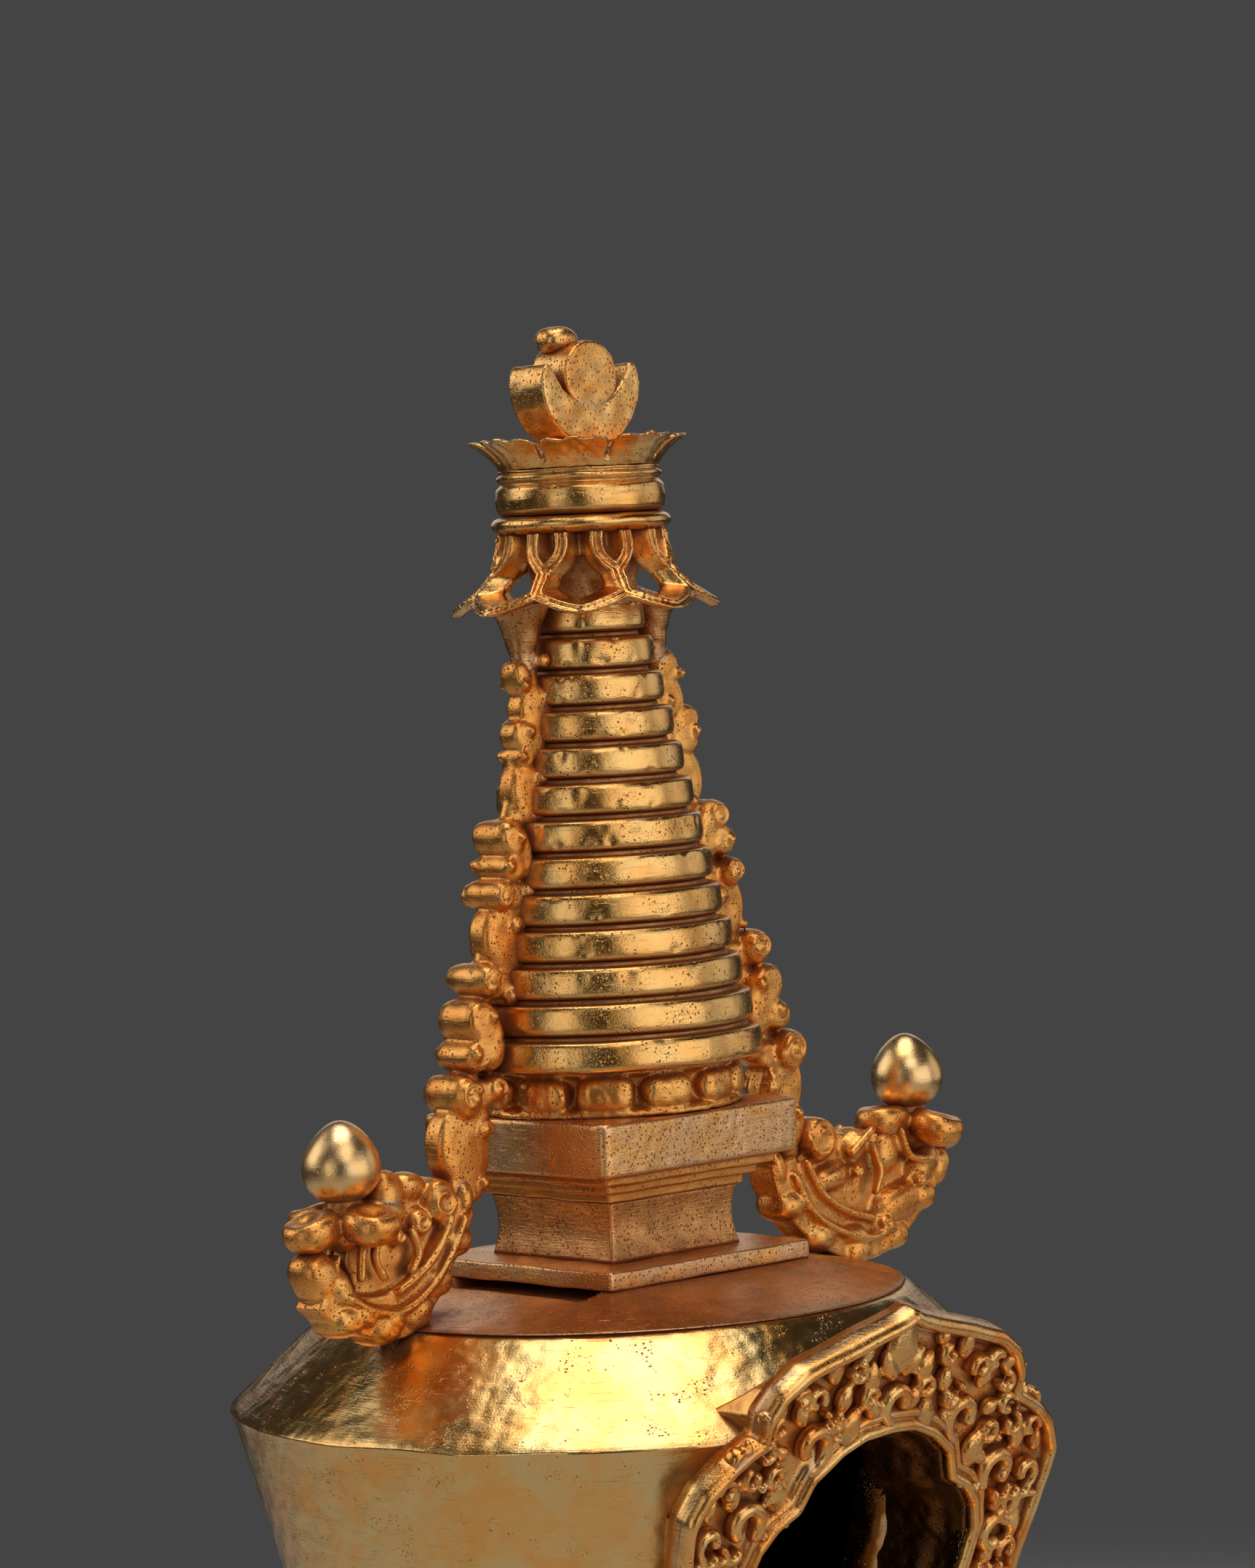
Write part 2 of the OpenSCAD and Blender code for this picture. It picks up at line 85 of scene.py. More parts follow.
def joined(shapes):
    """Several (points, faces) shapes as one, with each shape's corner numbers moved past the ones before."""
    starts = np.cumsum([0] + [len(points) for points, _ in shapes[:-1]])
    return (np.concatenate([points for points, _ in shapes]),
            np.concatenate([faces + start for (_, faces), start in zip(shapes, starts)]))


def ripple(points, size, seed):
    """Smooth noise from -1 to 1: the mean of nine sine waves in random directions, about size long."""
    rng = np.random.default_rng(seed)
    waves = rng.normal(size=(3, 9)) * 2.2 / size
    return np.sin(points @ waves + rng.uniform(0, 2 * math.pi, 9)).mean(axis=1) * 1.6


def rounded(corners, cut, steps=3):
    """Closed outline with each corner cut back and bridged by the curve (1-t)^2 A + 2t(1-t) corner + t^2 B."""
    corners = np.array(corners, float)

    def towards(other):
        """Each corner moved towards another point, by the cut or a little under half the way."""
        step = other - corners
        length = np.linalg.norm(step, axis=1, keepdims=True)
        return corners + step / length * np.minimum(cut, length * 0.45)

    a, b = towards(np.roll(corners, 1, 0)), towards(np.roll(corners, -1, 0))
    t = np.linspace(0, 1, steps + 1)[None, :, None]
    curve = (1 - t) ** 2 * a[:, None] + 2 * t * (1 - t) * corners[:, None] + t ** 2 * b[:, None]
    return curve.reshape(-1, 2)


def resampled(points, count, closed=False):
    """The same line through count points at even distances along it."""
    points = np.array(points, float)
    if closed:
        points = np.vstack([points, points[:1]])
    along = np.append(0, np.cumsum(np.linalg.norm(np.diff(points, axis=0), axis=1)))
    at = np.linspace(0, along[-1], count, endpoint=not closed)
    return np.stack([np.interp(at, along, points[:, k]) for k in range(points.shape[1])], 1)


def refined(outline, spacing):
    """A closed outline with extra points, so that none are further apart than about spacing."""
    after = np.roll(outline, -1, 0)
    parts = np.maximum(1, np.ceil(np.linalg.norm(after - outline, axis=1) / spacing)).astype(int)
    start = np.repeat(np.arange(len(outline)), parts)
    share = (np.arange(parts.sum()) - np.repeat(np.cumsum(parts) - parts, parts)) / np.repeat(parts, parts)
    return outline[start] + (after[start] - outline[start]) * share[:, None]


def softened(points, passes, closed=True):
    """Each point moved halfway to the mean of its two neighbours, several times."""
    for _ in range(passes):
        mean = (np.roll(points, 1, 0) + np.roll(points, -1, 0)) / 2
        moved = points + (mean - points) / 2
        if not closed:
            moved[[0, -1]] = points[[0, -1]]
        points = moved
    return points


def circle_plan(count):
    """Unit circle, counter-clockwise."""
    turn = np.arange(count) * 2 * math.pi / count
    return np.stack([np.cos(turn), np.sin(turn)], 1)


def square_plan(cut, spacing=0.05, steps=3):
    """Square of half side 1 with its corners cut by the given share, with points about spacing apart."""
    return refined(rounded([[1, -1], [1, 1], [-1, 1], [-1, -1]], cut, steps), spacing)


def stepped_plan(step, spacing=0.05):
    """Square of half side 1 whose corners step in twice by the given share."""
    a, b = 1 - step, 1 - 2 * step
    quarter = np.array([[1, -b], [1, b], [a, b], [a, a], [b, a]])
    turns = [np.array([[math.cos(t), math.sin(t)], [-math.sin(t), math.cos(t)]])
             for t in np.arange(4) * math.pi / 2]
    return refined(rounded(np.vstack([quarter @ turn for turn in turns]), 0.012), spacing)


def turned(profile, plan):
    """Closed profile of (distance, height) carried round a plan outline: x, y = distance * plan, z = height."""
    profile = np.array(profile, float)
    xy = profile[:, None, :1] * plan[None]
    z = np.broadcast_to(profile[:, None, 1:], (len(profile), len(plan), 1))
    return (np.concatenate([xy, z], 2).reshape(-1, 3),
            grid_faces(len(profile), len(plan), close_rows=True))


def tube(path, across, along, axis=(0, 1, 0), sides=12, caps=4):
    """Closed tube: round each point of a path, an ellipse with half-axis across the path, square to axis, and
    half-axis along the axis. Quarter-circle caps close both ends."""
    path, axis = np.array(path, float), np.array(axis, float)
    across = np.broadcast_to(across, len(path)).astype(float)
    along = np.broadcast_to(along, len(path)).astype(float)
    heading = np.gradient(path, axis=0)
    heading /= np.linalg.norm(heading, axis=1, keepdims=True)
    bend = np.linspace(math.pi / 2, 0, caps, endpoint=False)
    swell = np.concatenate([np.cos(bend), np.ones(len(path)), np.cos(bend[::-1])])
    reach = np.concatenate([-np.sin(bend), np.zeros(len(path)), np.sin(bend[::-1])])
    pick = np.concatenate([np.zeros(caps, int), np.arange(len(path)), np.full(caps, len(path) - 1)])
    centre = path[pick] + heading[pick] * (reach * across[pick])[:, None]
    side = np.cross(heading[pick], axis)
    side /= np.linalg.norm(side, axis=1, keepdims=True)
    turn = np.arange(sides) * 2 * math.pi / sides
    swell = np.maximum(swell, 0.02)
    points = (centre[:, None] + side[:, None] * (np.cos(turn)[None, :, None] * (across[pick] * swell)[:, None, None])
              + axis * (np.sin(turn)[None, :, None] * (along[pick] * swell)[:, None, None]))
    ends = [np.arange(sides)[::-1], np.arange(sides) + (len(pick) - 1) * sides]
    return closed_tube(points.reshape(-1, 3), len(pick), sides, ends)


def closed_tube(points, rows, sides, ends):
    """Quads of a tube's wall, and fans of quads that close its two end rings to their middle points."""
    middles = np.stack([points[end].mean(axis=0) for end in ends])
    fans = [np.stack([end[0::2], end[1::2], np.roll(end[0::2], -1), np.full(sides // 2, len(points) + k)], 1)
            for k, end in enumerate(ends)]
    return np.vstack([points, middles]), np.vstack([grid_faces(rows, sides), *fans])


def ball(centre, radii, rows=10, sides=16, power=1.0):
    """Ellipsoid with half-axes radii; a power below 1 squares it off like a pillow."""
    lift = np.linspace(-math.pi / 2, math.pi / 2, rows + 2)[1:-1]
    turn = np.arange(sides) * 2 * math.pi / sides
    lift, turn = np.meshgrid(lift, turn, indexing="ij")

    def squared(value):
        """The value's size raised to the power, with its sign kept."""
        return np.sign(value) * np.abs(value) ** power

    unit = np.stack([squared(np.cos(lift)) * squared(np.cos(turn)),
                     squared(np.cos(lift)) * squared(np.sin(turn)), squared(np.sin(lift))], 2)
    points = unit.reshape(-1, 3) * np.array(radii, float)
    ends = [np.arange(sides)[::-1], np.arange(sides) + (rows - 1) * sides]
    points, faces = closed_tube(points, rows, sides, ends)
    points[-2:, 2] = [-radii[2], radii[2]]
    return points + np.array(centre, float), faces


def tilted(shape, centre, degrees, axis="Y"):
    """The shape turned about a line through centre."""
    turn = np.array(Matrix.Rotation(math.radians(degrees), 3, axis))
    centre = np.array(centre, float)
    return (shape[0] - centre) @ turn.T + centre, shape[1]


def puck(x, z, half_x, half_z, half_y, y=0.0, edge=0.35, sides=28):
    """Flat oval boss that runs from front to back: a rounded square profile turned into an ellipse about Y."""
    e = edge
    profile = np.array([[0.02, -1], [1 - e, -1], [1 - 0.3 * e, -1 + 0.12], [1, -1 + 0.45], [1, 1 - 0.45],
                        [1 - 0.3 * e, 1 - 0.12], [1 - e, 1], [0.02, 1]])
    plan = circle_plan(sides)
    points = np.stack([
        x + half_x * profile[:, None, 0] * plan[None, :, 0],
        y + half_y * np.broadcast_to(profile[:, None, 1], (len(profile), sides)),
        z - half_z * profile[:, None, 0] * plan[None, :, 1]], 2).reshape(-1, 3)
    ends = [np.arange(sides)[::-1], np.arange(sides) + (len(profile) - 1) * sides]
    return closed_tube(points, len(profile), sides, ends)


def spiral(x, z, outer, inner, start, turns, y=0.0, count=40):
    """Points of a spiral in the XZ plane: radius falls evenly from outer to inner as the angle turns."""
    share = np.linspace(0, 1, count)
    angle = math.radians(start) + share * turns * 2 * math.pi
    radius = outer + (inner - outer) * share
    return np.stack([x + radius * np.cos(angle), np.full(count, y), z + radius * np.sin(angle)], 1)


def smooth_line(points, count):
    """A curved line through given points: each is kept, and Catmull-Rom curves join them."""
    points = np.array(points, float)
    padded = np.vstack([2 * points[0] - points[1], points, 2 * points[-1] - points[-2]])
    at = np.linspace(0, len(points) - 1, count)
    k = np.minimum(at.astype(int), len(points) - 2)
    t = (at - k)[:, None]
    p0, p1, p2, p3 = (padded[k + n] for n in range(4))
    return 0.5 * (2 * p1 + (p2 - p0) * t + (2 * p0 - 5 * p1 + 4 * p2 - p3) * t ** 2
                  + (3 * p1 - p0 - 3 * p2 + p3) * t ** 3)


# ---- Pieces ---------------------------------------------------------------------------------


def mesh_of(name, points, faces):
    """A mesh in metres from points in millimetres and quads."""
    mesh = bpy.data.meshes.new(name)
    mesh.vertices.add(len(points))
    mesh.vertices.foreach_set("co", (points * MM).astype(np.float32).ravel())
    mesh.loops.add(faces.size)
    mesh.loops.foreach_set("vertex_index", faces.astype(np.int32).ravel())
    mesh.polygons.add(len(faces))
    mesh.polygons.foreach_set("loop_start", np.arange(0, faces.size, 4, dtype=np.int32))
    mesh.polygons.foreach_set("use_smooth", np.ones(len(faces), bool))
    mesh.update(calc_edges=True)
    mesh.validate()
    return mesh


def applied(obj):
    """Replaces an object's mesh with the result of its modifiers."""
    graph = bpy.context.evaluated_depsgraph_get()
    mesh = bpy.data.meshes.new_from_object(obj.evaluated_get(graph))
    obj.modifiers.clear()
    obj.data = mesh
    return obj


def piece(name, shape, body, nodes, slot, material):
    """An object for a shape, riding on a body in place of CAD nodes, with its material; the slot is not used."""
    obj = bpy.data.objects.new(name, mesh_of(name, *shape))
    bpy.context.scene.collection.objects.link(obj)
    obj.data.materials.append(bpy.data.materials[material])
    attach(obj, body)
    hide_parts(*nodes)
    return obj


# The melt works on a copy with one metre for each millimetre, because voxels have a smallest size
VOXEL_SCALE = 1000


def fused(shapes, voxel, smoothing=2, seed=1, lumps=0.0, lump_size=1.2):
    """Overlapping closed shapes melted into one skin of small quads, smoothed and made slightly lumpy, as cast."""
    points, faces = joined(shapes)
    obj = bpy.data.objects.new("melt", mesh_of("melt", points * VOXEL_SCALE, faces))
    bpy.context.scene.collection.objects.link(obj)
    melt = obj.modifiers.new("melt", "REMESH")
    melt.mode = "VOXEL"
    melt.voxel_size = voxel
    smooth = obj.modifiers.new("smooth", "SMOOTH")
    smooth.factor = 0.6
    smooth.iterations = smoothing
    applied(obj)
    mesh = obj.data
    points = np.zeros(len(mesh.vertices) * 3, np.float32)
    mesh.vertices.foreach_get("co", points)
    points = points.reshape(-1, 3).astype(float)
    normals = np.zeros(len(mesh.vertices) * 3, np.float32)
    mesh.vertices.foreach_get("normal", normals)
    points += normals.reshape(-1, 3) * (ripple(points, lump_size, seed) * lumps)[:, None]
    corners = np.zeros(len(mesh.loops), np.int32)
    mesh.loops.foreach_get("vertex_index", corners)
    bpy.data.objects.remove(obj)
    bpy.data.meshes.remove(mesh)
    return points, corners.reshape(-1, 4)


def weathered(shape, size, amount, seed):
    """Points pushed to and fro by smooth noise, as much as amount."""
    points, faces = shape
    shift = np.stack([ripple(points, size, seed + k) for k in range(3)], 1)
    return points + shift * amount, faces


def turned_piece(name, node, profile, plan, grain, body, slot, material):
    """A piece for one CAD node: a profile carried round a plan, weathered by grain as (size, amount, seed)."""
    return piece(name, weathered(turned(profile, plan), *grain), body, [node], slot, material)


def spun(radius, turn, height):
    """Grid of points at a distance and a turn from the axis, at a height."""
    across, along, up = np.broadcast_arrays(radius * np.cos(turn), radius * np.sin(turn), height)
    return np.stack([across, along, up], 2)


def whole_cells(marked):
    """Cells of a grid that wraps round, whose four corners are all marked."""
    pairs = marked[:-1] & marked[1:]
    return pairs & np.roll(pairs, -1, 1)


# ---- Shader node groups ---------------------------------------------------------------------


def add_node(tree, kind, inputs=None, **settings):
    """Adds a node; an input given as a socket is linked, and any other value is set on it."""
    node = tree.nodes.new(kind)
    for key, value in settings.items():
        setattr(node, key, value)
    for key, value in (inputs or {}).items():
        if isinstance(value, bpy.types.NodeSocket):
            tree.links.new(value, node.inputs[key])
        else:
            node.inputs[key].default_value = value
    return node


def math_node(tree, operation, a, b=0.0, clamp=False):
    """Result of one operation on a and b."""
    return add_node(tree, "ShaderNodeMath", {0: a, 1: b}, operation=operation, use_clamp=clamp).outputs[0]


def times(tree, a, b):
    """a multiplied by b."""
    return math_node(tree, "MULTIPLY", a, b)


def summed(tree, value, *terms):
    """A value plus each term times its share, where a term is (socket, share)."""
    for term, share in terms:
        value = math_node(tree, "ADD", value, times(tree, term, share))
    return value


def centred(tree, grain):
    """A noise that runs about 0 and not about its middle value."""
    return math_node(tree, "SUBTRACT", grain, 0.5)


def mixed(tree, factor, a, b):
    """Colour a with colour b laid over it."""
    return add_node(tree, "ShaderNodeMix", {0: factor, 6: a, 7: b}, data_type="RGBA").outputs[2]


def ramp(tree, value, low, high, to_low=0.0, to_high=1.0):
    """Smooth step from to_low to to_high as value goes from low to high."""
    node = add_node(tree, "ShaderNodeMapRange", {0: value, 1: low, 2: high, 3: to_low, 4: to_high},
                    interpolation_type="SMOOTHSTEP")
    return node.outputs[0]


def noise(tree, vector, scale, detail=4.0, roughness=0.6, distortion=0.0):
    """Cloudy noise from 0 to 1, with scale waves to the unit."""
    node = add_node(tree, "ShaderNodeTexNoise", {"Vector": vector, "Scale": scale, "Detail": detail,
                                                 "Roughness": roughness, "Distortion": distortion})
    return node.outputs[0]


def new_group(name, inputs, outputs):
    """An empty node group with named sockets; an input is (name, kind, default)."""
    tree = bpy.data.node_groups.new(name, "ShaderNodeTree")
    for title, kind, default in inputs:
        socket = tree.interface.new_socket(name=title, in_out="INPUT", socket_type=kind)
        if default is not None:
            socket.default_value = default
    for title, kind in outputs:
        tree.interface.new_socket(name=title, in_out="OUTPUT", socket_type=kind)
    start = tree.nodes.new("NodeGroupInput")
    end = tree.nodes.new("NodeGroupOutput")
    return tree, start.outputs, end.inputs


def placed(tree, group, inputs):
    """Outputs of a group's node in a tree."""
    return add_node(tree, "ShaderNodeGroup", inputs, node_tree=bpy.data.node_groups[group]).outputs


VECTOR, FLOAT, COLOUR = "NodeSocketVector", "NodeSocketFloat", "NodeSocketColor"


def tarnish_and_shade_group():
    """Mask of the hollows, little open sky within reach, broken up by noise: partly red-brown tarnish that polishing
    never reached, partly painted shade in hollows and between parts.
    """
    tree, start, end = new_group("tarnish_and_shade", [
        ("Vector", VECTOR, None), ("Reach", FLOAT, 0.0015), ("Spread", FLOAT, 0.5)], [("Mask", FLOAT)])
    sky = add_node(tree, "ShaderNodeAmbientOcclusion", {"Distance": start["Reach"]}, samples=6).outputs["AO"]
    grain = noise(tree, start["Vector"], 1.3, 6.0, 0.7)
    broken = summed(tree, sky, (centred(tree, grain), 0.55))
    clean = math_node(tree, "ADD", start["Spread"], 0.38)
    full = math_node(tree, "SUBTRACT", start["Spread"], 0.12)
    tree.links.new(ramp(tree, broken, clean, full), end["Mask"])


def worn_edges_group():
    """Mask of thin lips and sharp corners, where the inside of the metal is close to open air."""
    tree, start, end = new_group("worn_edges", [
        ("Vector", VECTOR, None), ("Reach", FLOAT, 0.0004)], [("Mask", FLOAT)])
    within = add_node(tree, "ShaderNodeAmbientOcclusion", {"Distance": start["Reach"]}, samples=4, inside=True)
    grain = noise(tree, start["Vector"], 1.6, 5.0, 0.65)
    broken = summed(tree, within.outputs["AO"], (centred(tree, grain), 0.8))
    tree.links.new(ramp(tree, broken, 0.62, 0.25), end["Mask"])


def casting_pits_group():
    """Mask of small round pits: near the centres of scattered cells, only where a broad noise is high."""
    tree, start, end = new_group("casting_pits", [
        ("Vector", VECTOR, None), ("Density", FLOAT, 0.5), ("Size", FLOAT, 3.0)], [("Mask", FLOAT)])
    cell = add_node(tree, "ShaderNodeTexVoronoi", {"Vector": start["Vector"], "Scale": start["Size"]})
    spot = ramp(tree, cell.outputs["Distance"], 0.30, 0.12)
    where = noise(tree, start["Vector"], 0.35, 4.0, 0.7)
    limit = times(tree, math_node(tree, "SUBTRACT", 1.0, start["Density"]), 0.7)
    field = ramp(tree, math_node(tree, "SUBTRACT", where, limit), 0.0, 0.14)
    tree.links.new(times(tree, spot, field), end["Mask"])


def file_marks_group():
    """Fine level strokes round the piece: noise squeezed tight in height, and a few longer scratches."""
    tree, start, end = new_group("file_marks", [
        ("Vector", VECTOR, None), ("Fineness", FLOAT, 9.0)], [("Height", FLOAT)])
    squeeze = add_node(tree, "ShaderNodeCombineXYZ", {0: 0.5, 1: 0.5, 2: start["Fineness"]})
    level = add_node(tree, "ShaderNodeVectorMath", {0: start["Vector"], 1: squeeze.outputs[0]},
                     operation="MULTIPLY").outputs[0]
    fine = noise(tree, level, 1.0, 3.0, 0.5, 0.4)
    skew = add_node(tree, "ShaderNodeMapping", {"Vector": start["Vector"], "Rotation": (0.5, 0.3, 0.4),
                                                "Scale": (0.35, 0.35, 7.0)}).outputs[0]
    scratch = ramp(tree, noise(tree, skew, 1.0, 2.0, 0.4), 0.66, 0.72)
    tree.links.new(summed(tree, fine, (scratch, -0.5)), end["Height"])


GILDING_COLOURS = ("Gold", "Deep", "Tarnish", "Worn")
GILDING_AMOUNTS = (("Reach", 0.0015), ("Spread", 0.5), ("Pitting", 0.5), ("Patches", 0.3), ("Wear", 0.5),
                   ("Marks", 0.5), ("Waves", 0.5), ("Base", 0.25))
PIT_SIZE, SPECK_SIZE = 2.6, 6.5


def gilding_group():
    """Fire gilding over bronze: cloudy gold, red-brown tarnish in hollows, partly painted shade there, and in thin
    patches, pits, worn lips.
    """
    tree, start, end = new_group(
        "gilding",
        [("Vector", VECTOR, None), *((name, COLOUR, None) for name in GILDING_COLOURS),
         *((name, FLOAT, value) for name, value in GILDING_AMOUNTS)],
        [("Color", COLOUR), ("Roughness", FLOAT), ("Metallic", FLOAT), ("Height", FLOAT)])
    mm = start["Vector"]
    hollow = placed(tree, "tarnish_and_shade",
                    {"Vector": mm, "Reach": start["Reach"], "Spread": start["Spread"]})["Mask"]
    pits, specks = (placed(tree, "casting_pits", {"Vector": mm, "Density": start["Pitting"], "Size": size})["Mask"]
                    for size in (PIT_SIZE, SPECK_SIZE))
    edges = placed(tree, "worn_edges", {"Vector": mm, "Reach": 0.00035})["Mask"]
    marks = placed(tree, "file_marks", {"Vector": mm, "Fineness": 9.0})["Height"]
    cloud = noise(tree, mm, 0.22, 6.0, 0.62, 0.6)
    thin = noise(tree, mm, 0.42, 8.0, 0.72, 0.9)
    thin_limit = summed(tree, 0.86, (start["Patches"], -0.4))
    thin_spots = ramp(tree, math_node(tree, "SUBTRACT", thin, thin_limit), 0.0, 0.12)
    colour = mixed(tree, ramp(tree, cloud, 0.32, 0.68), start["Gold"], start["Deep"])
    pitted = math_node(tree, "MAXIMUM", times(tree, pits, 0.8), times(tree, specks, 0.6))
    # The hollow mask lays the tarnish colour partly as real tarnish, partly as painted shade in hollows and between
    # parts
    for cover, tone in ((times(tree, thin_spots, 0.75), "Tarnish"), (pitted, "Tarnish"),
                        (times(tree, edges, start["Wear"]), "Worn"), (times(tree, hollow, 0.93), "Tarnish")):
        colour = mixed(tree, cover, colour, start[tone])
    dull = math_node(tree, "MAXIMUM", hollow, times(tree, thin_spots, 0.7))
    rough = summed(tree, start["Base"], (dull, 0.3), (centred(tree, thin), 0.35))
    rough = math_node(tree, "ADD", rough, times(tree, pits, 0.15), clamp=True)
    fine = noise(tree, mm, 5.5, 5.0, 0.65)
    waves = noise(tree, mm, 0.55, 1.0, 0.4)
    height = summed(tree, times(tree, fine, 0.22), (waves, start["Waves"]), (marks, start["Marks"]), (thin, 0.4),
                    (pits, -0.9), (specks, -0.4))
    metallic = summed(tree, 1.0, (dull, -0.45))
    for name, value in (("Color", colour), ("Roughness", rough), ("Metallic", metallic), ("Height", height)):
        tree.links.new(value, end[name])


def gilt_material(name, gold, deep, tarnish, worn, reach=1.5, spread=0.5, pitting=0.45, patches=0.3,
                  wear=0.5, marks=0.5, waves=1.0, base=0.25, relief=0.06):
    """A gilding whose lengths (reach, relief) are in millimetres."""
    material = bpy.data.materials.new(name)
    material.use_nodes = True
    tree = material.node_tree
    shader = tree.nodes["Principled BSDF"]
    place = add_node(tree, "ShaderNodeTexCoord").outputs["Object"]
    mm = add_node(tree, "ShaderNodeVectorMath", {0: place, 3: 1 / MM}, operation="SCALE").outputs[0]
    values = (reach * MM, spread, pitting, patches, wear, marks, waves, base)
    skin = placed(tree, "gilding", {
        "Vector": mm, **{title: (*tone, 1) for title, tone in zip(GILDING_COLOURS, (gold, deep, tarnish, worn))},
        **{title: value for (title, _), value in zip(GILDING_AMOUNTS, values)}})
    bump = add_node(tree, "ShaderNodeBump", {"Height": skin["Height"], "Distance": relief * MM, "Strength": 1.0})
    for value, title in ((skin["Color"], "Base Color"), (skin["Roughness"], "Roughness"),
                         (skin["Metallic"], "Metallic"), (bump.outputs[0], "Normal")):
        tree.links.new(value, shader.inputs[title])
    return material


# Near-black painted shade for the dark inside of the dome, seen through the niche's opening
INSIDE_SHADE = (0.012, 0.007, 0.005)


def darker(tone, share):
    """A colour with every channel multiplied by share."""
    return tuple(c * share for c in tone)


def make_finishes(finish):
    """Every group and material of the stupa."""
    for group in (tarnish_and_shade_group, worn_edges_group, casting_pits_group, file_marks_group, gilding_group):
        group()
    gold, deep, orange, tarnish, worn, patina, rubbed, olive, pale, brown, copper = (
        tuple(getattr(finish, name)) for name in (
            "gold", "deep_gold", "orange_gold", "tarnish", "worn", "patina", "rubbed_gold", "olive_gold",
            "pale_gold", "brown_bronze", "copper"))

    def gilt(name, tone, second, dullness, marks=0.2, **values):
        """A gilding with the shared tarnish, which also paints shade in hollows, and worn metal, rougher by dullness
        than the best burnished places.
        """
        gilt_material(name, tone, second, tarnish, worn, base=finish.polish + dullness, marks=marks, **values)

    # Reach and spread size the tarnish together with the painted shade in hollows
    gilt("gilt_rings", gold, deep, 0.03, reach=1.9, spread=0.52, pitting=0.34, waves=1.2, wear=0.25, relief=0.07)
    gilt("gilt_dome", olive, deep, 0.03, reach=3.0, spread=0.36, pitting=0.25, patches=0.2, waves=2.2, wear=0.2)
    gilt("gilt_slab", pale, deep, 0.14, reach=2.0, spread=0.45, pitting=0.6, patches=0.5, wear=0.3, relief=0.1)
    gilt("gilt_finial", gold, orange, 0.12, reach=1.6, spread=0.45, pitting=0.6, patches=0.12, wear=0.3)
    gilt("gilt_bud", rubbed, gold, 0.13, marks=0.1, reach=1.4, spread=0.45, pitting=0.2, patches=0.1, wear=0.3)
    gilt("gilt_patina", patina, darker(patina, 0.62), 0.1, marks=0.4, reach=3.0, patches=0.6, wear=0.3, relief=0.09)
    gilt("gilt_satin", deep, orange, 0.16, reach=1.3, pitting=0.42, wear=0.6, relief=0.07)
    gilt("gilt_openwork", gold, orange, 0.08, spread=0.42, pitting=0.35)
    gilt_material("brown_bronze", brown, darker(brown, 0.6), darker(brown, 0.35), deep, reach=2.0, spread=0.45,
                  pitting=0.5, patches=0.6, marks=0.2, base=0.45, wear=0.1, relief=0.15)
    gilt_material("sooty_inside", INSIDE_SHADE, INSIDE_SHADE, INSIDE_SHADE, INSIDE_SHADE, reach=2.0, pitting=0.2, base=0.7, wear=0)
    gilt_material("copper_sheet", copper, darker(copper, 0.7), darker(copper, 0.3), worn, reach=2.0, spread=0.4,
                  pitting=0.3, patches=0.5, marks=0.2, base=0.4, wear=0.3)


# ---- Settings -------------------------------------------------------------------------------


def colour(title, text, value):
    """A colour setting."""
    return bpy.props.FloatVectorProperty(name=title, description=text, subtype="COLOR", size=3, min=0, max=1,
                                         default=value)


class StupaFinish(bpy.types.PropertyGroup):
    """Colours and polish of the metals"""
    gold: colour("Gold", "Burnished gilding in full light", (0.94, 0.57, 0.20))
    deep_gold: colour("Deep gold", "Gilding where it is thicker and redder", (0.92, 0.45, 0.12))
    orange_gold: colour("Orange gold", "Satin gilding over bronze", (0.88, 0.34, 0.07))
    # The tarnish colour also serves as painted shade in hollows and between parts
    tarnish: colour("Tarnish", "Red-brown film in the hollows", (0.30, 0.075, 0.018))
    worn: colour("Worn metal", "Grey alloy where the gilding has rubbed away", (0.38, 0.33, 0.26))
    patina: colour("Thin gilding", "Red-brown gilding of the dome's cap and the neck", (0.84, 0.40, 0.14))
    rubbed_gold: colour("Rubbed gold", "Pale gilding of the buds, rubbed by hands", (0.97, 0.66, 0.35))
    olive_gold: colour("Olive gold", "Thin burnished gilding of the dome", (0.82, 0.57, 0.24))
    pale_gold: colour("Pale gold", "Dull pinkish gilding of the harmika", (0.86, 0.50, 0.26))
    brown_bronze: colour("Brown bronze", "Ungilded bronze", (0.20, 0.085, 0.03))
    copper: colour("Copper", "Base plate", (0.50, 0.22, 0.11))
    polish: bpy.props.FloatProperty(name="Polish", description="Roughness of the best burnished places",
                                    default=0.15, min=0.05, max=0.6, subtype="FACTOR")


class StupaCasting(bpy.types.PropertyGroup):
    """Fineness and faults of the castings"""
    segments: bpy.props.IntProperty(name="Segments", description="Points round a turned piece", default=192,
                                    min=64, max=512)
    fine_voxel: bpy.props.FloatProperty(name="Fine skin", description="Quad size of small castings, in millimetres",
                                        default=0.15, min=0.08, max=0.4)
    voxel: bpy.props.FloatProperty(name="Skin", description="Quad size of the streamers' castings, in millimetres",
                                   default=0.18, min=0.1, max=0.4)
    nicks: bpy.props.IntProperty(name="Nicks", description="Dents round each ring's edge", default=16, min=0, max=60)
    wobble: bpy.props.FloatProperty(name="Wobble", description="How far turned edges wander, in millimetres",
                                    default=0.07, min=0, max=0.3)


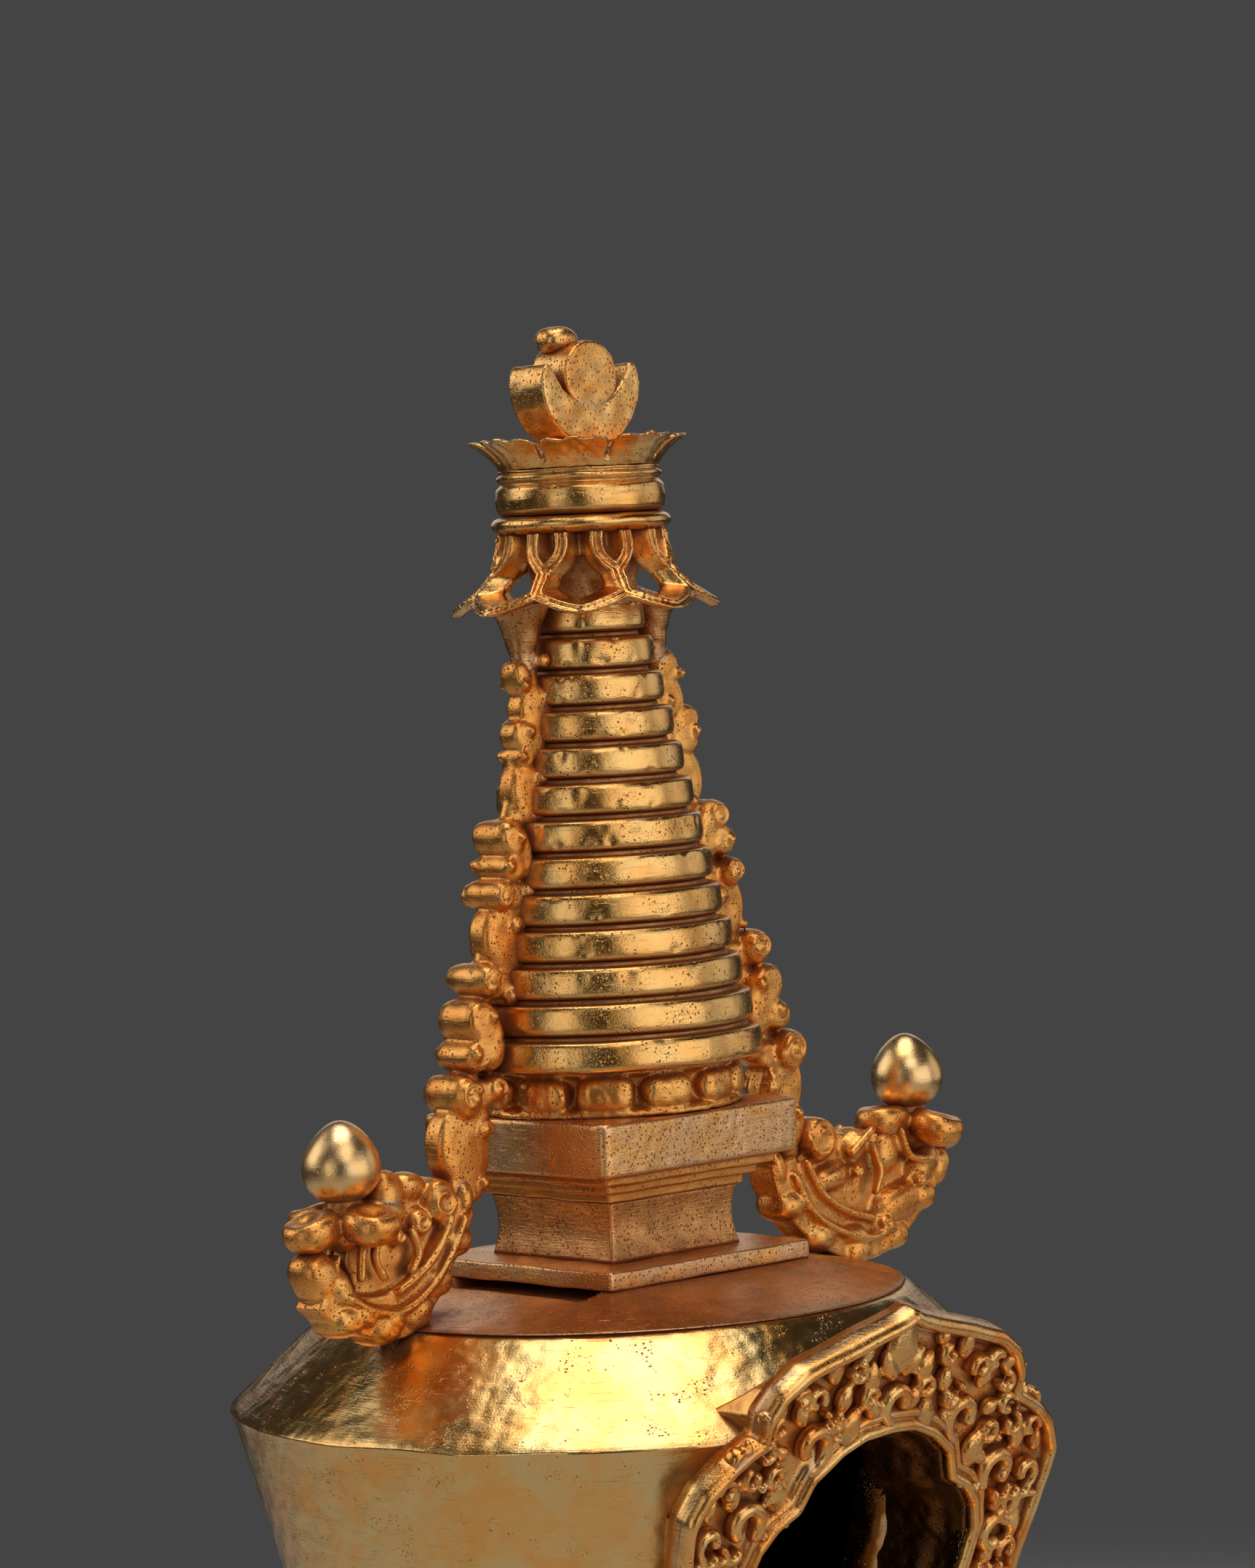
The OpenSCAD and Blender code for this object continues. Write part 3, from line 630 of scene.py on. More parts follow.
class StupaStage(bpy.types.PropertyGroup):
    """Camera, backdrop and floor"""
    azimuth: bpy.props.FloatProperty(name="Azimuth", description="Camera's turn from the niche's front",
                                     default=math.radians(-42.84), subtype="ANGLE")
    distance: bpy.props.FloatProperty(name="Distance", description="Camera to the axis", default=0.4268,
                                      unit="LENGTH")
    height: bpy.props.FloatProperty(name="Height", description="Camera over the floor", default=0.1577,
                                    unit="LENGTH")
    pitch: bpy.props.FloatProperty(name="Pitch", description="Camera's look downwards", default=math.radians(2.495),
                                   subtype="ANGLE")
    yaw: bpy.props.FloatProperty(name="Yaw", description="Camera's look to the right of the axis",
                                 default=math.radians(0.366), subtype="ANGLE")
    roll: bpy.props.FloatProperty(name="Roll", description="Camera's tilt", default=math.radians(2.80),
                                  subtype="ANGLE")
    lens: bpy.props.FloatProperty(name="Lens", description="Focal length over a 36 mm picture height, in millimetres",
                                  default=120.5)
    backdrop: colour("Backdrop", "Grey behind the object", (0.058, 0.058, 0.058))
    floor: colour("Floor", "Pale floor", (0.62, 0.61, 0.60))


# ---- Throne ---------------------------------------------------------------------------------


# Where a profile closes on the axis, and the radius of the bore round the spindle
AXIS, BORE = 0.02, 2.25


def moulding(levels, inner):
    """Closed profile from a list of (distance, height) up the outside, with a plain inside at inner."""
    (_, low), (_, high) = levels[0], levels[-1]
    return refined(rounded([*levels, [inner, high], [inner, low]], 0.35), 0.9)


def build_throne(scene):
    """Square plinth, dado with balusters, cornice and four stepped terraces."""
    burnished = (DOME, "gilt_burnished", "gilt_dome")
    edge = square_plan(0.012, 0.025)
    half, _, _ = node_levels("throne_plinth")
    foot = moulding([[half, 0], [half, 2.6], [half - 0.8, 3.3], [half - 0.8, 4.4], [half - 1.6, 5],
                     [half - 2.6, 5.2], [half - 2.6, 6.2], [half - 4.2, 7], [half - 6.6, 7.5], [half - 7.4, 8]],
                    half - 11)
    turned_piece("plinth_casting", "throne_plinth", foot, edge, (14, 0.06, 11), *burnished)
    dado = dado_shape(*node_levels("throne_dado"))
    piece("dado_casting", dado, DOME, ["throne_dado"], "gilt_streamer", "gilt_satin")
    posts = posts_shape(*node_levels("corner_posts"))
    piece("corner_balusters", posts, DOME, ["corner_posts"], "gilt_burnished", "gilt_dome")
    top, a, b = node_levels("throne_cornice")
    rim = moulding([[top - 6.4, a], [top - 3.2, a + 0.5], [top - 1.6, a + 1.5], [top - 1.4, a + 3],
                    [top, a + 3.4], [top, b - 1], [top - 0.9, b - 0.1], [top - 2, b]], 30)
    turned_piece("cornice_casting", "throne_cornice", rim, edge, (14, 0.06, 12), *burnished)
    for n in range(1, 5):
        w, a, b = node_levels(f"terrace_{n}")
        step = moulding([[w - 0.9, a], [w - 0.9, a + 1.3], [w - 0.5, a + 1.6], [w - 0.1, a + 2], [w, a + 2.4],
                         [w, b - 0.2], [w - 0.3, b]], w - 14)
        turned_piece(f"terrace_step_{n}", f"terrace_{n}", step, stepped_plan(2.2 / w, 0.03), (12, 0.05, 12 + n),
                     *burnished)


def dado_shape(half, low, high):
    """Square wall whose faces carry a sunk panel: between two borders the face steps in, and a raised lozenge
    and rosettes and leaves stand in it, each a smooth bump of the distance from its own centre."""
    profile = refined(rounded([[half - 4, low], [half, low], [half, high], [half - 4, high]], 0.3), 0.45)
    points, faces = turned(profile, square_plan(0.01, 0.0115))
    up = points[:, 2] - (low + high) / 2
    for a, b, side in ((0, 1, -1), (0, 1, 1), (1, 0, -1), (1, 0, 1)):
        s = points[:, a]
        face = (points[:, b] * side > half - 0.35) & (np.abs(s) < half - 2)
        panel = 1 / (1 + np.exp(-(half - 9.5 - np.abs(s)) * 6)) / (1 + np.exp(-(3.1 - np.abs(up)) * 6))
        lozenge = np.clip(1 - (np.abs(s) / 8 + np.abs(up) / 2.6), 0, 1) ** 0.5
        beads = sum(np.sqrt(np.clip(1 - ((s - c) ** 2 + up ** 2) / 3.2, 0, 1)) for c in (-15, 15))
        leaves = sum(np.sqrt(np.clip(1 - ((s - c) / 2.6) ** 2 - (up / 1.2) ** 2, 0, 1))
                     for c in (-20, -10.5, 10.5, 20))
        lift = -0.75 * panel + 0.7 * lozenge * panel + 0.75 * beads * panel + 0.6 * leaves * panel
        points[:, b] += np.where(face, lift * side, 0)
    return points, faces


def posts_shape(reach, low, high):
    """Four turned balusters: a waisted profile with collars, carried round a circle at each corner."""
    h = high - low
    foot = [[2.2, 0], [2.2, 0.9], [1.5, 1.3], [1.9, 1.8], [1.5, 2.3], [1.2, 3.4]]
    levels = [*foot, [1.55, h / 2], *([r, h - z] for r, z in foot[::-1])]
    profile = refined(rounded([[AXIS, 0], *levels, [AXIS, h]], 0.2), 0.4)
    points, faces = turned(profile, circle_plan(36))
    centre = reach - 2.2
    return joined([(points + [x * centre, y * centre, low], faces) for x in (-1, 1) for y in (-1, 1)])


# ---- Dome -----------------------------------------------------------------------------------

NICHE_LEAN = math.tan(math.radians(20))
NICHE_Y, NICHE_Z = 26.5, 80.0
# Right half of the frame's outer edge and of its opening, as (across, height), from the top down, in four parts
# that end at the shoulder's cusp, the widest place, the lower corner and the middle of the foot
FRAME_EDGE = [[[0, 98.8], [1.2, 98.2], [4, 97.4], [7.8, 96.4], [11.2, 95.4], [13.3, 94], [14.5, 92.2], [14.4, 90.4]],
              [[14.4, 90.4], [17.4, 88.9], [19.6, 87], [20.7, 84.8]],
              [[20.7, 84.8], [20.3, 82], [19.5, 77.6], [15.6, 52.6], [15, 51.8]],
              [[15, 51.8], [0, 51.8]]]
OPENING_EDGE = [[[0, 88.7], [2.6, 88.5], [5, 87.6], [7.4, 85.8], [8.4, 83.5]],
                [[8.4, 83.5], [10.3, 82.5], [11.8, 80.9], [12.4, 78.6]],
                [[12.4, 78.6], [12.1, 76.5], [8.6, 57.2], [8, 56.5]],
                [[8, 56.5], [0, 56.5]]]
EDGE_COUNTS = (70, 34, 110, 36)


def whole_edge(parts):
    """A closed outline from its right half: each part at even steps, and the mirror image going back up."""
    half = np.vstack([resampled(part, n + 1)[:-1] for part, n in zip(parts, EDGE_COUNTS)] + [[parts[-1][-1]]])
    other = half[1:-1][::-1] * [-1, 1]
    return softened(np.vstack([half, other]), 2)


def on_niche(across, height, out):
    """Points on the niche's leaning face, out in front of it along the face's own normal."""
    slant = math.hypot(1, NICHE_LEAN)
    y = -(NICHE_Y + NICHE_LEAN * (height - NICHE_Z)) - out / slant
    return np.stack([across, y, height - out * NICHE_LEAN / slant], -1)


def inside(outline, x, z):
    """Whether each place lies inside a closed outline: it does where a level ray crosses the outline oddly often."""
    x0, z0 = outline.T
    x1, z1 = np.roll(outline, -1, 0).T
    x, z = np.asarray(x)[..., None], np.asarray(z)[..., None]
    rise = np.where(z1 == z0, 1e-9, z1 - z0)
    crosses = ((z0 > z) != (z1 > z)) & (x < x0 + (z - z0) / rise * (x1 - x0))
    return crosses.sum(axis=-1) % 2 == 1


def moved_out(outline, distance):
    """A clockwise outline with every point moved out along its normal."""
    normal = np.roll(outline, -1, 0) - np.roll(outline, 1, 0)
    normal = np.stack([-normal[:, 1], normal[:, 0]], 1) / np.linalg.norm(normal, axis=1, keepdims=True)
    return outline + normal * distance


def perforated(outer, inner, keep):
    """Closed sheet between two wrapped grids with some cells left out: kept cells front and back, and a side wall
    wherever a kept cell borders a missing one."""
    rows, columns = outer.shape[:2]
    number = np.arange(rows * columns).reshape(rows, columns)
    right = np.roll(number, -1, 1)
    a, b, c, d = number[:-1], right[:-1], right[1:], number[1:]
    front = np.stack([a, b, c, d], 2)[keep]
    shift = rows * columns
    back = front[:, ::-1] + shift
    full = np.pad(keep, ((1, 1), (0, 0)))
    walls = []
    for missing, p, q in ((~full[:-2], a, b), (~full[2:], c, d), (~np.roll(keep, 1, 1), d, a),
                          (~np.roll(keep, -1, 1), b, c)):
        border = keep & missing
        walls.append(np.stack([q[border], p[border], p[border] + shift, q[border] + shift], 1))
    points, faces = np.concatenate([outer.reshape(-1, 3), inner.reshape(-1, 3)]), np.vstack([front, back, *walls])
    used = np.unique(faces)
    place = np.zeros(len(points), int)
    place[used] = np.arange(len(used))
    return points[used], place[faces]


# Outside of the dome as (distance, height), from its foot to the seat of the cap
DOME_LINE = [[20.5, 47.05], [22.3, 54], [26.1, 68.5], [31.9, 89.6], [32.05, 90.0], [31.75, 90.35],
             [28, 93.65], [23.75, 97.35], [23.3, 97.68], [14.05, 97.68]]
DOME_COLUMNS = 336
SHELL_THICKNESS, SHELL_TOP = 1.5, 96.2
SHOULDER_Z = 90
# Below this the edge of the niche's hole is seen from above and stays gilt
VISIBLE_CUT_Z = 58


def build_dome(scene):
    """Shell turned from its line, and from the same line moved in by its thickness. The distance from the axis is
    multiplied by 1 + noise / distance, and the shoulder's edge also wanders up and down. The niche's hole leaves out
    what stands proud of the frame, and the opening."""
    line = np.vstack([resampled(DOME_LINE[:4], 56)[:-1], resampled(DOME_LINE[3:6], 7)[:-1],
                      resampled(DOME_LINE[5:8], 20)[:-1], resampled(DOME_LINE[7:], 14)])
    slope = np.gradient(softened(line, 3, closed=False), axis=0)
    slope /= np.linalg.norm(slope, axis=1, keepdims=True)
    back = line - np.stack([slope[:, 1], -slope[:, 0]], 1) * SHELL_THICKNESS
    back[:, 1] = np.clip(back[:, 1], line[0, 1], SHELL_TOP)
    turn = np.arange(DOME_COLUMNS) * 2 * math.pi / DOME_COLUMNS
    around = np.stack([np.cos(turn), np.sin(turn), 0 * turn], 1) * 32
    grids = []
    for outline in (line, back):
        r, z = outline[:, :1], outline[:, 1:]
        grid = spun(r, turn, z)
        lip = np.exp(-((z - SHOULDER_Z) / 1.2) ** 2)
        grid[..., 2] += lip * ripple(around, 9, 21) * 0.16
        rough = ripple(grid.reshape(-1, 3), 13, 23).reshape(len(outline), -1)
        grid[..., :2] *= (1 + (lip * ripple(around, 3, 22) * 0.10 + rough * 0.10) / r)[..., None]
        grids.append(grid)
    middle = (grids[0][:-1] + grids[0][1:]) / 2
    x, y, z = (middle[..., k] for k in range(3))
    proud = y < 1.5 - NICHE_Y - NICHE_LEAN * (z - NICHE_Z)
    hole = inside(moved_out(whole_edge(FRAME_EDGE), -0.7), x, z) & proud
    hole |= inside(moved_out(whole_edge(OPENING_EDGE), 0.5), x, z) & (y < 0)
    points, faces = perforated(*grids, ~hole)
    shell = piece("dome_casting", (points, faces), DOME, ["dome_shell"], "gilt_burnished", "gilt_dome")
    # The inner faces above VISIBLE_CUT_Z take a near-black material: painted shade of the dark inside
    shell.data.materials.append(bpy.data.materials["sooty_inside"])
    count = (~hole).sum()
    order = np.arange(len(faces))
    low_cut = (order >= 2 * count) & (points[faces][:, :, 2].mean(axis=1) < VISIBLE_CUT_Z)
    behind = (order >= count) & ~low_cut
    shell.data.polygons.foreach_set("material_index", behind.astype(np.int32))
    build_cap()
    build_lotus_base(scene.stupa_casting)


CROWN_Z, SQUARE_HALF = 97.72, 11.15
CAP_ROWS, CAP_COLUMNS = 40, 320


def build_cap():
    """Low lid whose outline goes from a circle at the dome's crown to the harmika's square: row by row
    (1 - s) circle + s square, and back in underneath as a plug. A slot is pressed in on its left."""
    crown_r, _, top = node_levels("dome_cap")
    plan = circle_plan(CAP_COLUMNS)
    square = plan / np.abs(plan).max(axis=1, keepdims=True)
    share = np.linspace(0, 1, CAP_ROWS)[:, None, None]
    lip = crown_r * (1 - share) * plan[None] + (SQUARE_HALF * share) * square[None]
    lip_z = CROWN_Z + (top - CROWN_Z) * np.broadcast_to(share, (CAP_ROWS, CAP_COLUMNS, 1)) ** 0.85
    under = np.array([[2.3, top], [2.3, CROWN_Z - 3], [13.9, CROWN_Z - 3], [13.9, CROWN_Z - 0.05],
                      [crown_r - 0.2, CROWN_Z - 0.05]])
    below = np.concatenate([under[:, None, :1] * plan[None],
                            np.broadcast_to(under[:, None, 1:], (len(under), CAP_COLUMNS, 1))], 2)
    points = np.concatenate([np.concatenate([lip, lip_z], 2), below]).reshape(-1, 3)
    slot = np.exp(-((points[:, 0] + 11.6) / 1.3) ** 4) * (np.abs(points[:, 1] + 1.3) < 8.5)
    points[:, 2] -= slot * (points[:, 2] > CROWN_Z) * 0.85
    points[:, 2] += ripple(points, 5, 31) * 0.05 * (points[:, 2] > CROWN_Z + 0.1)
    faces = grid_faces(CAP_ROWS + len(under), CAP_COLUMNS, close_rows=True)
    piece("cap_casting", (points, faces), DOME, ["dome_cap"], "gilt_streamer", "gilt_patina")


def petal_band(radius, low, height, petals, swell, rows=36, columns=400):
    """Ring of lotus petals: over a band, each petal's bulge is a root of 1 - (a / width)^2, where a runs from
    -1 to 1 across the petal and its width follows an ogee from the tip; a second row shows between them."""
    up, turn = np.meshgrid(np.linspace(0, 1, rows), np.arange(columns) * 2 * math.pi / columns, indexing="ij")

    def row(shift):
        """One row of petals, from 0 to 1, moved round by a share of a petal."""
        a = ((turn * petals / (2 * math.pi) + shift) % 1) * 2 - 1
        width = np.clip(up + 0.02, 0.0001, 1) ** 0.45
        return np.where(up > 0, np.clip(1 - (a / width) ** 2, 0, 1) ** 0.4, 0)

    lift = np.maximum(row(0), 0.62 * row(0.5))
    r = radius + swell * lift * np.sin(np.clip(up * 1.1, 0, 1) * math.pi * 0.5 + 0.35)
    height = low + up * height
    points = np.concatenate([spun(r, turn, height), spun(radius - 4, turn, height)[::-1]]).reshape(-1, 3)
    return points, grid_faces(2 * rows, columns, close_rows=True)


def build_lotus_base(casting):
    """Petal band and moulded foot under the dome, and two turned sockets cut to the slope of its shoulder."""
    reach, a, b = node_levels("lotus_ring")
    ring = petal_band(reach - 1.9, a, b - a, 24, 1.7)
    piece("lotus_petals", weathered(ring, 3, 0.04, 41), DOME, ["lotus_ring"], "gilt_streamer", "gilt_satin")
    r, a, b = node_levels("dome_foot")
    foot = rounded([[8, a], [r - 0.8, a], [r - 0.2, a + 0.7], [r, a + 1.4], [r - 0.4, a + 2], [r - 1.2, a + 2.2],
                    [r - 1.4, b], [8, b]], 0.25)
    turned_piece("foot_moulding", "dome_foot", refined(foot, 0.8), circle_plan(casting.segments), (4, 0.04, 42),
                 DOME, "gilt_burnished", "gilt_dome")
    for side, name in ((-1, "socket_left"), (1, "socket_right")):
        low, high = node_box(name)
        h = high[2]
        profile = rounded([[0.85, low[2]], [1.85, low[2]], [1.95, h - 1.1], [1.75, h - 0.4], [1.4, h],
                           [0.85, h - 0.1]], 0.2)
        points, faces = turned(refined(profile, 0.3), circle_plan(40))
        points = points + [(low[0] + high[0]) / 2, 0, 0]
        shoulder = 97.75 - (np.hypot(points[:, 0], points[:, 1]) - 23.4) * 0.895
        points[:, 2] = np.minimum(points[:, 2], np.maximum(shoulder, low[2] + 0.1))
        piece(f"{name}_boss", weathered((points, faces), 1.5, 0.05, 43 + side), DOME, [name],
              "bronze_patina", "gilt_satin")


# ---- Niche ----------------------------------------------------------------------------------


# Section of the frame: (distance in from the outer edge, lift), then (distance out from the opening, lift)
OUTER_BEAD = [[0.02, -0.7], [0, 0], [0.08, 0.45], [0.3, 0.8], [0.6, 0.92], [0.9, 0.82], [1.12, 0.45], [1.25, 0],
              [1.4, -0.3]]
INNER_BEADS = [[2.0, -0.3], [1.85, 0.1], [1.65, 0.42], [1.42, 0.46], [1.22, 0.3], [1.1, 0.08], [0.98, 0.3],
               [0.8, 0.66], [0.5, 0.78], [0.22, 0.66], [0.04, 0.3], [0, -0.2]]


def frame_band(back):
    """Frame of the niche: the section is swept round, with each place along the outer edge joined to its partner
    along the opening; the field between the beads sinks by the sine of the way across."""
    outer, inner = whole_edge(FRAME_EDGE), whole_edge(OPENING_EDGE)
    width = np.linalg.norm(inner - outer, axis=1, keepdims=True)
    step = (inner - outer) / width
    share = np.linspace(0, 1, 14)[1:-1]
    flat = [outer] + [outer + step * d for d, _ in OUTER_BEAD]
    flat += [outer + step * (1.4 + (width - 3.4) * t) for t in share]
    flat += [inner - step * d for d, _ in INNER_BEADS] + [inner]
    lift = [-back] + [up for _, up in OUTER_BEAD] + [-0.3 - 0.25 * math.sin(math.pi * t) for t in share]
    lift += [up for _, up in INNER_BEADS] + [-back]
    flat = np.stack(flat)
    points = on_niche(flat[..., 0], flat[..., 1], np.broadcast_to(np.array(lift)[:, None], flat.shape[:2]))
    return points.reshape(-1, 3), grid_faces(len(lift), len(outer), close_rows=True)


def hood_wall():
    """Wall from the frame's outer edge straight back, as far as the dome's surface or, higher up, a few millimetres,
    and from there a web that turns in behind the frame and down into the dome. Where the dome stands proud of the
    frame, low down, a lip reaches forward to it."""
    edge = whole_edge(FRAME_EDGE)
    front = on_niche(edge[:, 0], edge[:, 1], 0)
    line = np.array(DOME_LINE[:9] + [[17, 98.7]])
    radius = np.interp(edge[:, 1], line[:, 1], line[:, 0])
    landing = -np.sqrt(np.maximum(radius ** 2 - edge[:, 0] ** 2, 0)) + 1.0
    most = 2.2 + 8 * np.clip((95 - edge[:, 1]) / 5, 0, 1) ** 1.5
    depth = np.clip(landing - front[:, 1], 1.5, most)
    out = moved_out(edge, 1.0) - edge
    proud = np.clip(front[:, 1] - landing + 0.4, 0, 8)
    section = [(0.3, 0, 0, 0)] + [(0, t, 0, 0) for t in np.linspace(0.1, 1, 12)]
    section += [(0.5, 1, 0.3, 0), (1.1, 1, 1.0, 0), (2.0, 1, 2.4, 0), (3.2, 1, 4.2, 0), (4.6, 1, 6.3, 0),
                (4.0, 1, 7.2, 0), (1.2, 1, 4.0, 0), (0.2, 0.8, 1.6, 0), (0.3, 0, 1.2, 0), (0.3, 0, 1.1, 1),
                (0.3, 0, 0, 1)]
    tuck = 0.5 * depth * np.clip((92 - edge[:, 1]) / 3, 0, 1)
    rows = []
    for back, share, inwards, lip in section:
        shift = inwards + tuck * share
        rows.append(np.stack([front[:, 0] - out[:, 0] * shift, front[:, 1] + back + depth * share - proud * lip,
                              front[:, 2] - out[:, 1] * shift], 1))
    return np.concatenate(rows), grid_faces(len(rows), len(edge), close_rows=True)


def reveal_wall(depth, thick):
    """Wall from the opening's edge straight back, rough as cast, with a ledge a third of the way in."""
    edge = whole_edge(OPENING_EDGE)
    front = on_niche(edge[:, 0], edge[:, 1], 0)
    back = np.linspace(0.2, depth, 22)
    rows = np.stack([front + [0, d, 0] for d in back])
    out = moved_out(edge, 1.0) - edge
    step = -0.55 / (1 + np.exp(-(back - depth * 0.35) * 6))[:, None]
    near = rows + np.stack([out[:, 0] * step, 0 * step * out[:, 0], out[:, 1] * step], 2)
    rough = near.reshape(-1, 3)
    shift = np.stack([ripple(rough, 0.9, 56), 0 * rough[:, 0], ripple(rough, 1.2, 57)], 1) * 0.22
    near = near + shift.reshape(near.shape) * np.clip(back - 0.8, 0, 1)[:, None, None]
    far = rows + np.stack([out[:, 0], 0 * out[:, 0], out[:, 1]], 1) * thick
    points = np.concatenate([far, near[::-1]]).reshape(-1, 3)
    return points, grid_faces(2 * len(back), len(edge), close_rows=True)


# Relief of the niche's band, right half: scrolls (across, height, radius, start angle, turns), pointed leaves
# (across, height, length, half width, angle) and balls (across, height, radius)
SCROLLS = [(8.3, 88.8, 1.75, 235, -0.95), (14.1, 83.5, 1.8, 215, -0.95), (17.7, 82.7, 1.2, -60, 0.9),
           (12.7, 91.0, 0.85, 90, -0.9), (13.4, 89.1, 0.9, 30, 0.95), (14.5, 87.3, 0.95, 60, -0.95),
           (11.9, 87.2, 0.9, -80, 0.95), (9.2, 92.8, 0.95, 200, -1.0), (10.8, 93.2, 0.75, 20, 0.9),
           (5.1, 94.3, 0.85, 100, 0.95), (6.3, 90.6, 0.7, 0, -0.9), (3.2, 92.0, 0.9, 160, -0.9),
           (17.0, 86.8, 0.9, 0, 0.9), (16.4, 89.0, 0.7, 90, -0.9)]
LEAVES = [(4.6, 88.2, 2.9, 0.75, 105), (10.4, 84.2, 2.9, 0.75, 70), (7.2, 93.6, 2.4, 0.55, 85),
          (5.7, 91.2, 2.0, 0.5, 95), (2.6, 92.4, 2.3, 0.6, 75), (16.0, 84.9, 2.2, 0.5, 95), (1.6, 90.2, 2.0, 0.55, 60),
          (12.2, 92.0, 1.6, 0.45, 50), (15.2, 88.6, 1.7, 0.45, 80), (18.4, 84.4, 2.0, 0.4, 100),
          (9.7, 90.8, 1.9, 0.45, 60), (11.0, 88.5, 1.5, 0.4, 40), (6.8, 87.2, 1.6, 0.45, -10),
          (12.4, 84.9, 1.6, 0.45, 160), (3.9, 95.2, 1.4, 0.4, 60)]
BALLS = [(9.8, 83.1, 0.45), (11.8, 82.4, 0.5), (7.5, 91.4, 0.4), (10.2, 91.8, 0.35), (1.4, 93.6, 0.35),
         (13.2, 86.4, 0.4), (15.9, 81.9, 0.4), (6.0, 89.2, 0.4), (14.3, 92.2, 0.4), (19.3, 86.2, 0.35)]
# Below a cross-bar the same group of relief repeats down the legs, from its middle: (across, height) from the leg's
# middle and the bar
LEG_SCROLLS = [(-1.1, -3.1, 1.6, 40, 0.95), (-1.2, -0.9, 0.8, 160, -0.9), (1.0, -4.6, 1.0, 200, -0.9)]
LEG_LEAVES = [(1.5, -3.8, 2.9, 0.45, 95), (0.4, -1.6, 1.5, 0.4, 60), (-1.4, -5.6, 1.4, 0.45, 70)]
BAR_HEIGHTS = [81.0, 74.7, 68.4, 62.1]


def laid(shape, x, z):
    """A flat drawing in XZ, with -Y towards the viewer, moved onto the niche's leaning face."""
    points, faces = shape
    return on_niche(points[:, 0] + x, points[:, 2] + z, -points[:, 1]), faces


def scroll(x, z, radius, start, turns, lift):
    """Fat C-shaped stem that winds in to a ball."""
    radius = radius * 1.22
    line = spiral(0, 0, radius * 0.78, radius * 0.42, start, turns * 0.74, count=26)
    thick = np.clip(radius * np.linspace(0.26, 0.38, 26), 0.36, 0.62)
    stem = tube(line, thick, lift, sides=10)
    head = ball(line[-1], [0.3 + radius * 0.16, lift * 1.1, 0.3 + radius * 0.16], 6, 10)
    return laid(joined([stem, head]), x, z)


def leaf(x, z, length, width, degrees, lift):
    """Pointed leaf: its half-width follows the sine of the way along it, and it stands up from the face."""
    share = np.linspace(0, 1, 14)
    line = np.stack([share * length * 1.15, np.zeros(14), 0.10 * length * np.sin(share * math.pi)], 1)
    half = width * 1.5 * np.sin(share ** 0.75 * math.pi) ** 0.8 + 0.05
    shape = tube(line, half, lift * (0.4 + 0.6 * np.sin(share * math.pi)), sides=8, caps=2)
    return laid(tilted(shape, [0, 0, 0], -degrees), x, z)


def facing(degrees, side):
    """An angle of the right half, or its mirror image for the left."""
    return degrees if side > 0 else 180 - degrees


def foliage_shapes(lift=0.8):
    """The right half's relief and its mirror image, with the middle palmette and the bars across the legs."""
    shapes = [leaf(0, 93.6, 4.1, 1.15, 90, lift), leaf(0.3, 93.2, 2.6, 0.5, 50, lift),
              leaf(-0.3, 93.2, 2.6, 0.5, 130, lift), scroll(0.3, 91.1, 1.6, 250, -0.95, lift)]

    def add_scrolls(rows, side, x0=0.0, z0=0.0):
        """Scrolls of a table, moved to x0, z0 on one side."""
        for x, z, radius, start, turns in rows:
            shapes.append(scroll((x0 + x) * side, z0 + z, radius, facing(start, side), turns * side, lift))

    def add_leaves(rows, side, height, x0=0.0, z0=0.0):
        """Leaves of a table, moved to x0, z0 on one side."""
        for x, z, length, width, degrees in rows:
            shapes.append(leaf((x0 + x) * side, z0 + z, length, width, facing(degrees, side), height))

    for side in (-1, 1):
        add_scrolls(SCROLLS, side)
        add_leaves(LEAVES, side, lift * 0.9)
        for x, z, radius in BALLS:
            shapes.append(laid(ball([0, 0, 0], [radius, lift, radius], 6, 10), x * side, z))
        for bar in BAR_HEIGHTS:
            out, near = 15.6 + (bar - 52.6) * 0.156, 8.6 + (bar - 57.2) * 0.181
            line = np.linspace([near + 1.4, 0, bar + 0.1], [out - 0.9, 0, bar - 0.1], 12) * [side, 1, 1]
            shapes.append(laid(tube(line, 0.36, lift * 1.1, sides=8, caps=3), 0, 0))
            for k in range(4):
                bead = ball([0, 0, 0], [0.4, lift * 1.15, 0.45], 6, 8)
                shapes.append(laid(bead, (near + 1.5 + k * 1.25) * side, bar + 0.45))
            add_scrolls(LEG_SCROLLS, side, (out + near) / 2, bar)
            add_leaves(LEG_LEAVES, side, lift, (out + near) / 2, bar)
        for k, x in enumerate((2.0, 5.6, 9.4)):
            shapes.append(scroll(x * side, 54.0, 1.3, 90 + 60 * k, 0.9 * side, lift))
        add_scrolls([(13.0, 56.6, 1.6, 200, -0.95)], side)
        add_leaves([(12.2, 54.0, 2.2, 0.5, 30)], side, lift * 0.9)
    return shapes


def build_niche(scene):
    """Frame, wall round it, wall of the opening, and the foliage relief."""
    piece("niche_frame_casting", weathered(frame_band(1.6), 2.5, 0.07, 51), DOME, ["niche_frame"],
          "gilt_streamer", "gilt_openwork")
    piece("niche_hood_wall", weathered(hood_wall(), 4, 0.06, 52), DOME, ["niche_hood"], "bronze_patina", "gilt_dome")
    piece("niche_reveal_wall", reveal_wall(8.5, 1.0), DOME, ["niche_reveal"], "bronze_patina", "brown_bronze")
    work = fused(foliage_shapes(), scene.stupa_casting.voxel, 1, 57, 0.03)
    piece("niche_foliage", work, DOME, ["niche_scrollwork"], "gilt_streamer", "gilt_openwork")


# ---- Harmika --------------------------------------------------------------------------------


